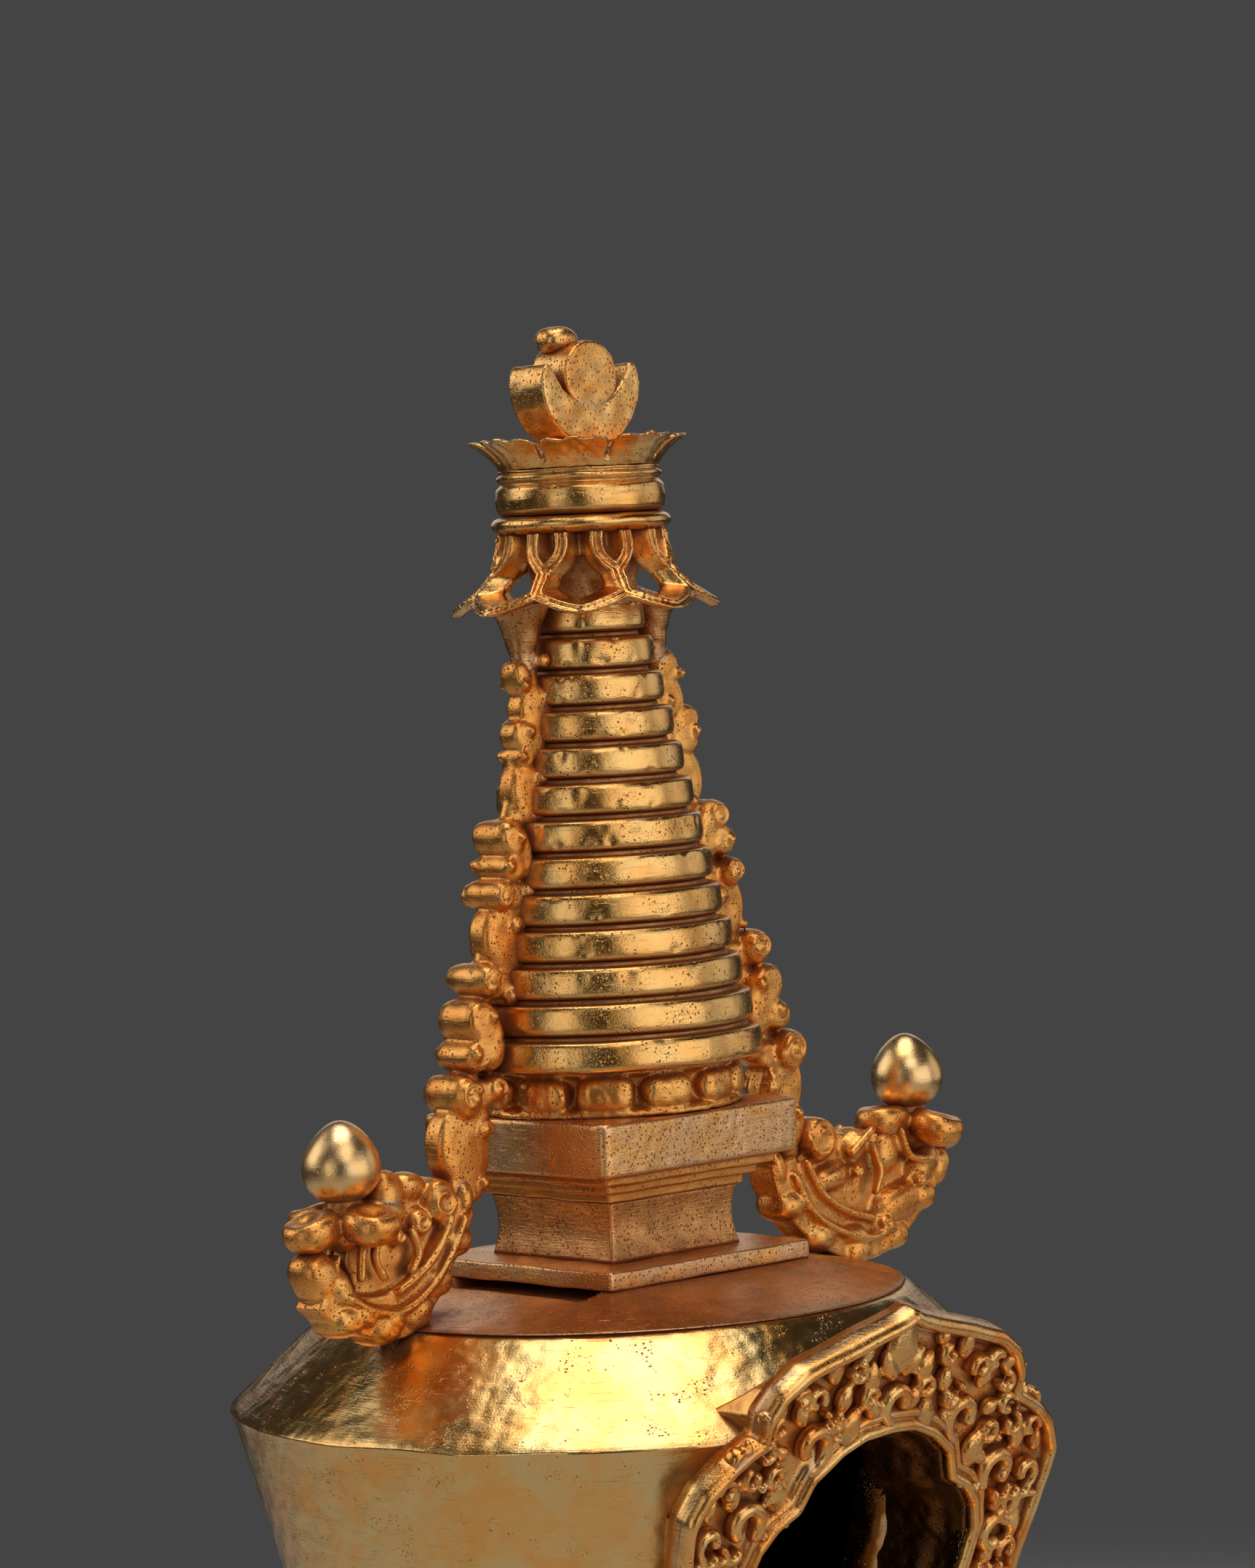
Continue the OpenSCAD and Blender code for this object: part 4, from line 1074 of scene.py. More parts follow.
def build_harmika(scene):
    """Plate, waisted neck, stepped cornice and slab, all square and bored for the spindle, with the collar."""
    h, a, b = node_levels("harmika_base")
    base = rounded([[BORE, a], [h, a], [h, b], [BORE, b]], 0.22)
    turned_piece("harmika_plate", "harmika_base", refined(base, 0.6), square_plan(0.03, 0.02), (4, 0.07, 61),
                 SPIRE, "gilt_burnished", "gilt_slab")
    h, a, b = node_levels("harmika_neck")
    up = np.linspace(0, 1, 9)
    side = np.stack([h - 0.35 * np.sin(up * math.pi), a + (b - a) * up], 1)
    neck = np.vstack([[[BORE, a]], side, [[BORE, b]]])
    turned_piece("harmika_stem", "harmika_neck", refined(neck, 0.6), square_plan(0.05, 0.03), (3, 0.06, 62),
                 SPIRE, "gilt_streamer", "gilt_patina")
    h, a, b = node_levels("harmika_cornice")
    steps = rounded([[BORE, a], [h - 1.95, a], [h - 1.95, a + 0.75], [h - 1.1, a + 0.85], [h - 1.1, a + 1.5],
                     [h, a + 1.65], [h, b], [BORE, b]], 0.16)
    turned_piece("harmika_mouldings", "harmika_cornice", refined(steps, 0.5), square_plan(0.04, 0.025),
                 (3, 0.06, 63), SPIRE, "gilt_streamer", "gilt_satin")
    h, a, b = node_levels("harmika_slab")
    slab = rounded([[BORE, a], [h - 0.05, a], [h, b], [BORE, b]], 0.45, 5)
    points, faces = turned(refined(slab, 0.24), square_plan(0.09, 0.018, 5))
    rough = np.clip(ripple(points, 3.2, 65), 0, 1) * np.clip(ripple(points, 0.55, 66), -0.2, 1)
    points[:, :2] *= (1 - 0.09 * rough / h)[:, None]
    piece("harmika_slab_casting", weathered((points, faces), 6, 0.09, 64), SPIRE, ["harmika_slab"],
          "gilt_burnished", "gilt_slab")
    build_collar(scene.stupa_casting)


def build_collar(casting):
    """Twelve pillow-shaped petals between a lower lip and an upper seat."""
    _, a, b = node_levels("lotus_collar")
    core = rounded([[BORE, a], [10.9, a], [10.8, a + 0.5], [9.7, a + 0.9], [9.3, a + 1.9], [9.6, b - 0.7],
                    [10.4, b - 0.4], [10.4, b], [BORE, b]], 0.2)
    shapes = [turned(refined(core, 0.7), circle_plan(180))]
    rng = np.random.default_rng(67)
    for k in range(12):
        size = 1 + rng.uniform(-0.07, 0.07)
        pad = ball([9.75, 0, (a + b) / 2 - 0.05], [1.25, 2.15 * size, 1.42 * size], 12, 20, 0.62)
        shapes.append(tilted(pad, [0, 0, 0], (k + 0.5) * 30 + rng.uniform(-1, 1), "Z"))
    piece("collar_petals", fused(shapes, casting.voxel, 2, 68, 0.07, 0.8), SPIRE, ["lotus_collar"], "gilt_streamer",
          "gilt_satin")


# ---- Spire ----------------------------------------------------------------------------------


RING_HEIGHT = 2.45


def ring_shape(casting, r, a, top, seed):
    """Turned ring: a rounded, slightly conical edge over the narrow seat of the ring above. Nicks press the edge in
    by a Gaussian of the way round and up from each nick's centre."""
    b = a + RING_HEIGHT
    seat = max(r - 1.25, 3.2)
    edge = rounded([[BORE, a], [r - 0.25, a], [r, a + 0.45], [r - 0.12, b - 0.3], [r - 0.4, b], [seat, b - 0.08],
                    [seat - 0.05, top], [BORE, top]], 0.45, 5)
    points, faces = turned(refined(edge, 0.42), circle_plan(casting.segments))
    rng = np.random.default_rng(seed)
    turn = np.arctan2(points[:, 1], points[:, 0])
    radius = np.hypot(points[:, 0], points[:, 1])
    centre = rng.uniform(-math.pi, math.pi, casting.nicks)
    level = a + rng.choice([0.25, 0.6, 1.8, 2.3], casting.nicks)
    half_width = rng.uniform(0.15, 0.6, casting.nicks)
    depth = rng.uniform(0.04, 0.2, casting.nicks)
    away = (np.abs((turn[:, None] - centre + math.pi) % (2 * math.pi) - math.pi) * r / half_width) ** 2
    away = away + ((points[:, 2:] - level) / 0.35) ** 2
    dent = (depth * np.exp(-away)).sum(axis=1) * (radius > seat + 0.3)
    wander = ripple(points * [1, 1, 0.2], 8, seed + 50) * casting.wobble
    points[:, :2] *= ((radius - dent + wander) / radius)[:, None]
    around = np.stack([np.cos(turn), np.sin(turn), turn * 0], 1) * r
    points[:, 2] += ripple(around, 7, seed + 90) * casting.wobble * np.clip(radius - seat, 0, 1)
    return points, faces


def build_spire(scene):
    """Thirteen rings, and the rod through them."""
    for n, name in enumerate(RING_NAMES):
        ring = ring_shape(scene.stupa_casting, *node_levels(name), 100 + n)
        piece(f"{name}_turned", ring, SPIRE, [name], "gilt_burnished", "gilt_rings")
    _, a, b = node_levels("spire_spindle")
    rod = rounded([[AXIS, a], [1.7, a], [2.2, a + 1.2], [2.2, b], [AXIS, b]], 0.3)
    piece("spindle_rod", turned(refined(rod, 1.5), circle_plan(40)), SPIRE, ["spire_spindle"], "bronze_patina",
          "brown_bronze")


# ---- Parasol --------------------------------------------------------------------------------

# Bell of the canopy as (distance from the axis, height over the rim)
BELL = [[10.6, 0], [9.5, 1.0], [8.35, 2.1], [7.35, 3.2], [6.85, 4.4], [6.6, 5.4], [6.5, 6.3]]
PETALS = 8
SECTOR = 360 / PETALS
CUSP_RISE = 1.25
RIM_POWER = 1.25
CANOPY_ROWS, CROWN_ROWS, PARASOL_COLUMNS = 110, 64, 960


def petal_angle(angle):
    """Degrees from the middle of the petal that a direction falls in; the middle of one petal faces the front."""
    return (angle + 90 + SECTOR / 2) % SECTOR - SECTOR / 2


def network_lines():
    """Ribs of the canopy in one petal's sector, as (angle from its middle in degrees, height): the scalloped rim,
    and on both sides a stem that rises from the cusp and parts round a small upper loop."""
    edge = SECTOR / 2
    rim_angle = np.linspace(-edge, edge, 60)
    rim = np.stack([rim_angle, CUSP_RISE * np.abs(rim_angle / edge) ** RIM_POWER], 1)
    stem = smooth_line([[edge, CUSP_RISE], [edge - 0.6, 2.3], [edge - 0.5, 3.0], [edge - 4.5, 3.55],
                        [edge - 9.0, 4.3], [edge - 10.8, 5.2], [edge - 10.2, 6.3]], 60)
    return np.vstack([rim, stem, stem * [-1, 1]])


def build_canopy(casting):
    """Openwork bell: over a grid of angle and height, the wall rises into twin ribs by the distance d from the
    network's lines, sinks between them as d grows, and is left out where d passes the hole's limit."""
    _, low, _ = node_levels("parasol_canopy")
    height = np.linspace(-0.3, 6.2, CANOPY_ROWS)
    bell = smooth_line(BELL, 200)
    bell_r = np.interp(height, bell[:, 1], bell[:, 0]) + np.clip(-height, 0, 1) * 0.6
    climb = np.append(0, np.cumsum(np.hypot(np.diff(height), np.diff(bell_r))))
    angle = np.arange(PARASOL_COLUMNS) * 360 / PARASOL_COLUMNS
    a = petal_angle(angle)
    lines = network_lines()
    line_r = np.interp(lines[:, 1], height, bell_r)
    line_climb = np.interp(lines[:, 1], height, climb)
    across = (a[None, :, None] - lines[:, 0]) * (math.pi / 180) * (bell_r[:, None, None] + line_r) / 2
    d = np.sqrt((across ** 2 + (climb[:, None, None] - line_climb) ** 2).min(axis=2))
    rim = CUSP_RISE * np.abs(a / (SECTOR / 2)) ** RIM_POWER
    twin = 0.55 * np.exp(-((d - 0.36) / 0.2) ** 2)
    sunk = 1.5 * np.clip((d - 0.5) / 0.9, 0, 1)
    above = height[:, None] - rim[None]
    r = bell_r[:, None] + np.where(above > -0.05, twin - sunk, twin * 0.6)
    turn = np.radians(angle)[None]
    outer = spun(r, turn, low + height[:, None])
    inner = spun(r - (0.9 - 0.4 * np.clip(d - 0.5, 0, 1)), turn, outer[..., 2] - 0.1)
    hole = (d > 1.12) & (height[:, None] < 4.3) & (above > 0)
    hole |= above < -0.42
    shape = perforated(outer, inner, ~whole_cells(hole))
    piece("canopy_openwork", fused([shape], casting.fine_voxel, 2, 71, 0.05, 0.9), SPIRE, ["parasol_canopy"],
          "gilt_streamer", "gilt_openwork")
    core = refined(np.array([[BORE, 0.1], [4.5, 0.1], [4.3, 2.2], [5.0, 6.1], [BORE, 6.1]]), 0.25)
    turned_piece("canopy_core", "parasol_canopy", core + [0, low], circle_plan(120), (1.4, 0.12, 72), SPIRE,
                 "bronze_patina", "gilt_patina")


def build_crown(casting):
    """Cup of eight flared petals: each top edge rises to a cusp in its middle, and a narrow slit parts neighbours."""
    _, z, _ = node_levels("lotus_crown")
    flare = smooth_line([[6.45, 0], [6.7, 0.55], [7.1, 1.25], [7.7, 1.95], [8.5, 2.6], [9.1, 3.0]], 60)
    up = np.linspace(0, 1, CROWN_ROWS)[:, None]
    angle = np.arange(PARASOL_COLUMNS) * 360 / PARASOL_COLUMNS
    a = np.abs(petal_angle(angle)) / (SECTOR / 2)
    petal = (((angle + 90 + SECTOR / 2) // SECTOR) % PETALS).astype(int)
    own = np.random.default_rng(72).uniform(-0.12, 0.12, PETALS)[petal]
    top = 0.88 + 0.08 * np.cos(a * 3 * math.pi) * (1 - a) - 0.3 * a ** 10 + own * 0.35
    top = top + 0.02 * np.sin(angle * 1.9) * np.sin(angle * 0.71)
    share = up * top[None]
    r = np.interp(share, np.linspace(0, 1, 60), flare[:, 0]) + 0.3 * (1 - a[None] ** 2) * share
    height = np.interp(share, np.linspace(0, 1, 60), flare[:, 1]) * 0.84
    turn = np.radians(angle)[None]
    outer = spun(r, turn, z + height)
    inner = spun(r - (0.9 - 0.3 * up), turn, z + height + 0.12 * up)
    slit = (1 - a[None]) * SECTOR / 2 * math.pi / 180 * r < 0.30 - 0.14 * share
    slit &= share > 0.22
    petals = perforated(outer, inner, ~whole_cells(slit))
    floor = rounded([[AXIS, z], [6.6, z], [6.6, z + 0.8], [5.4, z + 0.8], [3.3, z + 0.9], [2.9, z + 1.7],
                     [AXIS, z + 1.7]], 0.2)
    shapes = [petals, turned(refined(floor, 0.5), circle_plan(120))]
    piece("crown_petals", fused(shapes, casting.fine_voxel, 2, 73, 0.05, 0.7), SPIRE, ["lotus_crown"],
          "gilt_streamer", "gilt_openwork")


def build_parasol(scene):
    """Canopy, round bead, drum and crown, from the rim upwards."""
    casting = scene.stupa_casting
    build_canopy(casting)
    r, a, b = node_levels("parasol_bead")
    bead = rounded([[BORE, a], [r - 0.8, a], [r - 0.1, a + 0.45], [r, a + 0.8], [r - 0.15, a + 1.15],
                    [r - 0.6, b - 0.1], [BORE, b]], 0.2)
    turned_piece("parasol_bead_ring", "parasol_bead", refined(bead, 0.25), circle_plan(casting.segments),
                 (2.2, 0.06, 74), SPIRE, "gilt_burnished", "gilt_rings")
    r, a, b = node_levels("parasol_drum")
    drum = rounded([[AXIS, a + 2.9], [BORE, a + 2.8], [BORE, a], [r - 0.55, a], [r - 0.12, a + 0.45], [r, a + 1.3],
                    [r - 0.1, a + 2.2], [r - 0.5, a + 2.6], [r - 0.42, a + 2.75], [r - 0.2, a + 2.95],
                    [r - 0.2, b - 0.45], [r - 0.5, b - 0.35], [r - 0.35, b], [AXIS, b]], 0.14)
    turned_piece("parasol_drum_band", "parasol_drum", refined(drum, 0.22), circle_plan(casting.segments),
                 (2.4, 0.07, 75), SPIRE, "gilt_burnished", "gilt_rings")
    build_crown(casting)


# ---- Finial ---------------------------------------------------------------------------------


def slab_of(outline, half, x=0.0, z=0.0):
    """Upright plate with a flat outline: the outline at the front and back, joined by its wall and closed by strips
    between its two sides, which run from its first point to its middle one."""
    outline = np.array(outline, float) + [x, z]
    count = len(outline)
    points = np.concatenate([np.stack([outline[:, 0], np.full(count, y), outline[:, 1]], 1) for y in (-half, half)])
    k = np.arange(count // 2 - 1)
    front = np.stack([k, k + 1, count - 2 - k, count - 1 - k], 1)
    walls = grid_faces(2, count)[:, ::-1]
    return points, np.vstack([front, front[:, ::-1] + count, walls])


MOON_RADIUS, MOON_HOLLOW = 5.55, (4.3, 4.0)


def build_finial(scene):
    """Crescent between two arcs, disc, and a jewel that leans on its stalk."""
    voxel = scene.stupa_casting.fine_voxel
    finish = ("gilt_burnished", "gilt_finial")
    _, moon_high = node_box("crescent_moon")
    sun_low, sun_high = node_box("sun_disc")
    sun_r = (sun_high[0] - sun_low[0]) / 2
    z_sun = (sun_low[2] + sun_high[2]) / 2
    outer_turn = np.radians(np.linspace(17, -197, 90))
    inner_turn = np.radians(np.linspace(-180, 0, 90))
    outer = np.stack([MOON_RADIUS * np.cos(outer_turn), MOON_RADIUS * np.sin(outer_turn)], 1)
    inner = np.stack([MOON_HOLLOW[0] * np.cos(inner_turn), 2.0 + MOON_HOLLOW[1] * np.sin(inner_turn)], 1)
    outer[:, 1] = np.maximum(outer[:, 1], -5.15)
    moon = slab_of(softened(np.vstack([outer, inner + [0, 0.1]]), 45), moon_high[1] - 0.1, z=z_sun - 0.5 + 0.15)
    piece("moon_casting", fused([moon], voxel, 4, 81, 0.05, 1.0), SPIRE, ["crescent_moon"], *finish)
    disc = slab_of(circle_plan(80)[::-1] * (sun_r + 0.1), sun_high[1] + 0.05, z=z_sun)
    piece("sun_casting", fused([disc], voxel, 2, 82, 0.05, 1.1), SPIRE, ["sun_disc"], *finish)
    low, high = node_box("finial_jewel")
    centre = (low + high) / 2
    bead = tilted(ball(centre, [1.75, 1.55, 1.12], 14, 22, 0.85), centre, 6)
    stalk = ball(centre + [0.3, -0.2, -0.8], [1.0, 0.95, 0.7])
    piece("jewel_casting", fused([bead, stalk], voxel, 2, 83, 0.10, 1.0), SPIRE, ["finial_jewel"], *finish)


# ---- Streamers ------------------------------------------------------------------------------


# Outline of one streamer and its hook, as distances from the axis and heights: bosses are (distance, height, half
# width, half height, half thickness), rolls and curls (distance, height, radius, half thickness), studs (distance,
# height, radius), bands (outer line, inner line, half thickness), lobes (distance, height, half length, half width,
# turn, half thickness), and buttons as bosses are
Streamer = namedtuple("Streamer", "line bosses rolls curls studs bands veins lobes buttons")


LEFT = Streamer(
    line=[[7.0, 150.4], [7.1, 146], [7.9, 142], [8.6, 138.5], [10.2, 134.5], [10.9, 131], [11.8, 128],
          [13.2, 124.5], [14.6, 120], [15.9, 116], [16.9, 112.5], [17.5, 109], [17.7, 107.0]],
    bosses=[(8.0, 148.2, 0.8, 1.45, 1.2), (6.5, 145.7, 1.95, 1.9, 1.15), (7.3, 148.2, 0.9, 1.6, 0.9),
            (8.15, 143.6, 1.15, 1.35, 1.25), (8.15, 141.9, 0.95, 0.95, 1.25), (7.3, 143.2, 1.4, 1.7, 1.2),
            (7.75, 138.8, 2.0, 2.75, 1.25),
            (10.7, 135.5, 1.25, 1.55, 2.1), (10.75, 133.2, 1.2, 1.2, 2.1), (9.95, 134.6, 1.35, 2.5, 2.0),
            (11.95, 131.1, 1.15, 1.2, 2.15), (10.2, 130.9, 1.6, 1.1, 1.4), (9.2, 130.2, 1.1, 1.5, 1.3),
            (11.2, 127.5, 2.45, 2.95, 1.35),
            (14.0, 124.5, 1.25, 1.35, 2.2), (12.4, 124.0, 1.6, 1.2, 1.35),
            (14.95, 121.3, 1.6, 1.75, 2.25), (15.5, 118.6, 1.5, 1.3, 2.25), (14.4, 120.1, 1.65, 2.95, 2.2),
            (16.9, 115.5, 1.4, 1.75, 2.3), (14.9, 115.4, 1.6, 1.2, 1.5), (15.4, 113.4, 1.4, 2.2, 1.4),
            (16.8, 111.2, 2.6, 3.5, 1.3), (16.6, 108.6, 2.1, 1.9, 1.25)],
    rolls=[(12.1, 131.0, 1.05, 2.15), (14.1, 124.5, 1.15, 2.2), (16.9, 115.5, 1.3, 2.3), (5.8, 149.6, 0.5, 1.1)],
    curls=[(8.8, 131.2, 0.85, 1.5), (11.0, 123.1, 0.95, 1.4), (13.4, 115.8, 1.05, 1.6), (6.7, 140.2, 0.75, 1.4),
           (10.4, 128.6, 0.8, 1.45), (14.9, 112.7, 0.9, 1.4)],
    studs=[(8.2, 147.7, 0.42), (5.6, 146.7, 0.4), (5.5, 144.8, 0.45), (7.8, 144.0, 0.42), (8.8, 142.0, 0.42),
           (7.3, 137.2, 0.42), (10.1, 135.6, 0.46), (11.5, 133.4, 0.46), (9.5, 125.2, 0.42), (14.2, 121.7, 0.5),
           (16.1, 118.8, 0.55), (15.2, 108.5, 0.5), (16.6, 115.3, 0.5)],
    bands=[([[16.4, 106.4], [17.4, 104.6], [18.8, 102.6], [20.6, 100.0], [22.4, 98.1], [24.8, 97.3], [27.8, 97.8],
             [30.8, 98.8], [33.0, 100.6]],
            [[18.2, 107.6], [20.2, 105.6], [21.6, 103.8], [23.2, 102.3], [25.0, 101.4], [27.2, 101.0], [29.4, 101.6],
             [30.6, 103.0], [30.4, 105.0]], 2.0),
           ([[19.0, 107.0], [19.6, 104.6], [22.4, 101.6], [25.6, 101.0], [28.6, 101.4]],
            [[22.2, 110.0], [24.2, 109.6], [26.4, 108.6], [28.4, 106.6], [29.6, 104.0]], 1.25)],
    veins=[[[18.0, 106.0], [19.8, 103.2], [22.0, 100.9], [24.8, 99.6], [27.6, 99.9], [30.2, 101.2]],
           [[19.4, 106.2], [21.0, 103.8], [23.0, 102.2], [25.0, 101.2]],
           [[27.0, 107.6], [28.6, 105.0], [28.9, 102.6]], [[26.9, 106.0], [27.4, 104.0], [26.6, 102.4]],
           [[23.5, 105.6], [22.9, 104.0], [23.7, 102.6]]],
    lobes=[(22.8, 99.4, 1.5, 1.0, -30, 2.1), (25.6, 99.0, 1.5, 1.1, 10, 2.1), (28.6, 99.7, 1.6, 1.1, 22, 2.0),
           (25.1, 108.4, 1.6, 2.2, 8, 1.7), (32.2, 103.1, 1.7, 2.0, -20, 1.7), (30.6, 102.0, 1.3, 1.9, -20, 1.8),
           (22.4, 109.0, 1.5, 1.1, 10, 1.2), (17.4, 107.4, 0.9, 1.6, 10, 1.7)],
    buttons=[(20.0, 107.6, 1.55, 1.85, 2.0), (24.8, 105.4, 0.6, 0.75, 2.0), (22.2, 106.2, 1.1, 1.1, 1.7)])

RIGHT = Streamer(
    line=[[7.4, 150.4], [7.7, 146], [8.7, 142], [9.1, 138.5], [10.9, 134.5], [12.0, 131], [13.1, 128],
          [14.6, 124.5], [16.0, 120], [17.5, 116], [19.0, 112], [19.9, 109], [20.0, 107.0]],
    bosses=[(8.0, 148.2, 1.3, 1.6, 1.2), (7.9, 145.7, 1.9, 2.0, 1.15), (10.0, 144.0, 1.35, 1.2, 1.3),
            (9.6, 142.2, 1.6, 1.3, 1.3), (8.6, 142.4, 1.6, 1.9, 1.2), (9.2, 138.8, 2.3, 2.8, 1.25),
            (12.1, 135.8, 1.3, 1.4, 2.1), (12.7, 133.8, 1.4, 1.3, 2.1), (11.3, 134.6, 1.5, 2.5, 2.0),
            (13.6, 131.1, 1.2, 1.25, 2.15), (11.6, 130.9, 1.6, 1.1, 1.4), (13.0, 128.0, 2.5, 2.9, 1.35),
            (16.1, 124.6, 1.5, 1.5, 2.2), (14.1, 124.1, 1.6, 1.2, 1.35),
            (17.1, 121.4, 1.7, 1.75, 2.25), (17.9, 118.8, 1.6, 1.35, 2.25), (16.3, 120.0, 1.8, 3.0, 2.2),
            (19.5, 115.7, 1.75, 1.7, 2.3), (17.3, 115.4, 1.7, 1.2, 1.5), (18.9, 112.2, 2.4, 3.6, 1.3),
            (19.7, 109.2, 1.7, 2.2, 1.25)],
    rolls=[(13.6, 131.1, 1.05, 2.15), (16.1, 124.6, 1.3, 2.2), (19.5, 115.7, 1.5, 2.3), (12.1, 135.8, 1.15, 2.1)],
    curls=[(7.1, 140.4, 0.85, 1.4), (12.4, 129.2, 0.8, 1.45), (12.9, 123.6, 0.9, 1.4), (15.5, 116.0, 1.0, 1.5),
           (17.6, 112.6, 0.85, 1.4)],
    studs=[(9.2, 147.8, 0.45), (8.0, 145.6, 0.42), (10.6, 143.0, 0.45), (9.9, 137.2, 0.42), (13.2, 133.8, 0.48),
           (15.2, 126.6, 0.42), (15.9, 121.5, 0.5), (18.0, 119.2, 0.52), (17.4, 113.6, 0.5), (20.4, 110.2, 0.45)],
    bands=[([[16.6, 106.0], [17.4, 103.6], [19.2, 100.9], [21.6, 98.9], [24.6, 97.4], [28.0, 96.8], [31.4, 97.7],
             [34.2, 99.8], [36.4, 101.8], [38.2, 104.6]],
            [[19.6, 106.6], [20.9, 104.4], [22.4, 102.6], [24.4, 101.2], [26.6, 100.4], [28.6, 100.3], [30.8, 101.2],
             [32.6, 102.8], [34.0, 104.6], [35.4, 106.2]], 2.0),
           ([[20.4, 106.2], [22.6, 103.0], [26.6, 100.6], [30.4, 101.4], [33.4, 103.6]],
            [[23.4, 108.2], [26.0, 107.8], [28.8, 107.8], [31.6, 107.4], [34.2, 106.6]], 1.25)],
    veins=[[[19.0, 105.0], [20.8, 101.9], [23.8, 99.9], [27.4, 98.8], [30.4, 99.3]],
           [[20.4, 106.0], [22.2, 103.2], [25.0, 101.4], [28.0, 100.4]], [[25.9, 106.2], [28.4, 107.9]],
           [[28.4, 106.6], [29.2, 104.4], [28.6, 102.6]], [[32.0, 107.4], [33.0, 105.2], [35.6, 104.6]]],
    lobes=[(23.9, 104.3, 2.4, 1.2, 8, 1.9), (31.8, 101.2, 3.2, 1.7, 16, 2.0), (35.2, 104.2, 2.2, 1.5, 40, 1.9),
           (27.2, 106.6, 1.7, 1.4, 30, 1.6), (31.0, 105.8, 1.6, 2.0, -15, 1.6), (37.2, 103.8, 1.3, 1.9, -25, 1.7),
           (26.0, 99.2, 1.9, 1.0, -12, 2.0), (17.6, 105.8, 0.9, 1.7, 10, 1.7)],
    buttons=[(22.7, 107.7, 1.9, 1.9, 1.9), (26.5, 104.6, 0.6, 0.7, 2.1), (34.1, 103.1, 0.7, 0.7, 2.1),
             (29.7, 99.8, 0.75, 0.75, 2.1)])


def coil(x, z, y, outer, inner, start, turns, count, across=0.2, along=0.3):
    """Raised spiral on a front or back face."""
    return tube(spiral(x, z, outer, inner, start, turns, y, count), across, along, sides=8, caps=2)


def streamer_shapes(plan, rng):
    """One streamer on the +X side: a flat core with bosses, rolls with spiral ends, curls and studs on it."""
    line = smooth_line(plan.line, 80)
    core = np.stack([line[:, 0], np.zeros(80), line[:, 1]], 1)
    shapes = [tube(core, 1.1, 1.0, sides=14)]
    for x, z, half_x, half_z, half_y in plan.bosses:
        half_y *= 1 + rng.uniform(-0.03, 0.03)
        shapes.append(tilted(puck(x, z, half_x, half_z, half_y), [x, 0, z], 14))
    for x, z, radius, half in plan.curls:
        shapes.append(puck(x, z, radius, radius * 1.1, half))
        for y in (-half, half):
            shapes.append(coil(x, z, y, radius * 0.8, radius * 0.45, 200, -0.85, 18))
            shapes.append(ball([x, y, z], [0.34, 0.5, 0.38], 6, 10))
    for x, z, radius in plan.studs:
        half = face_depth(plan, x, z)
        shapes += [ball([x, y, z], [radius, 0.5, radius], 6, 10) for y in (-half, half)]
    for x, z, radius, half in plan.rolls:
        for y in (-half, half):
            shapes.append(coil(x, z, y, radius * 0.85, 0.4, 160, -1.25, 26))
            shapes.append(ball([x, y, z], [0.34, 0.45, 0.34], 6, 10))
    return shapes


def face_depth(plan, x, z):
    """Half thickness of the thickest boss that covers a place."""
    cover = [half_y for bx, bz, half_x, half_z, half_y in plan.bosses
             if ((x - bx) / half_x) ** 2 + ((z - bz) / half_z) ** 2 < 1]
    return max(cover, default=1.0)


def strap(outer, inner, half, count=40):
    """Band between two curved lines, thick by half to the front and back, rounded by later melting."""
    outer, inner = smooth_line(outer, count), smooth_line(inner, count)
    return slab_of(np.vstack([outer, inner[::-1]]), half)


def hook_shapes(plan):
    """One hook on the +X side: straps, lobed leaves, raised veins and round buttons, the same front and back."""
    shapes = [strap(outer, inner, half - 0.45) for outer, inner, half in plan.bands]
    outer, inner, half = plan.bands[0]
    outer, inner = smooth_line(outer, 7)[1:-1], smooth_line(inner, 7)[1:-1]
    for x, z in outer * 0.75 + inner * 0.25:
        shapes.append(ball([x, 0, z], [1.9, half + 0.2, 1.45], 12, 18, 0.85))
    for points in plan.veins:
        line = smooth_line(points, 30)
        for y in (-1, 1):
            shapes.append(tube(np.stack([line[:, 0], np.full(30, y * 1.85), line[:, 1]], 1), 0.36, 0.5, sides=8))
    for x, z, half_x, half_z, degrees, half_y in plan.lobes:
        shapes.append(tilted(ball([x, 0, z], [half_x, half_y * 1.15, half_z], 14, 20, 0.8), [x, 0, z], -degrees))
    for x, z, half_x, half_z, half_y in plan.buttons:
        shapes.append(puck(x, z, half_x, half_z, half_y))
        for y in (-half_y, half_y):
            shapes.append(coil(x, z, y, half_x * 0.75, half_x * 0.4, 180, 0.8, 20, 0.18, 0.28))
    return shapes


def petal_shape(centre, degrees, size):
    """Thick scooped petal: a flattened ball, pressed in on its upper side by a Gaussian, tipped up and turned."""
    points, faces = ball([0, 0, 0], [2.5 * size, 2.25 * size, 1.9 * size], 18, 28, 0.9)
    press = np.exp(-((points[:, 0] - 0.4) / 1.5) ** 2 - (points[:, 1] / 1.3) ** 2)
    points[:, 2] -= np.where(points[:, 2] > 0, press * 1.25 * size, 0)
    shape = tilted((points, faces), [0, 0, 0], 4)
    shape = (shape[0] + [3.5 * size, 0, 0], faces)
    shape = tilted(shape, [0, 0, 0], degrees, "Z")
    return shape[0] + np.array(centre), faces


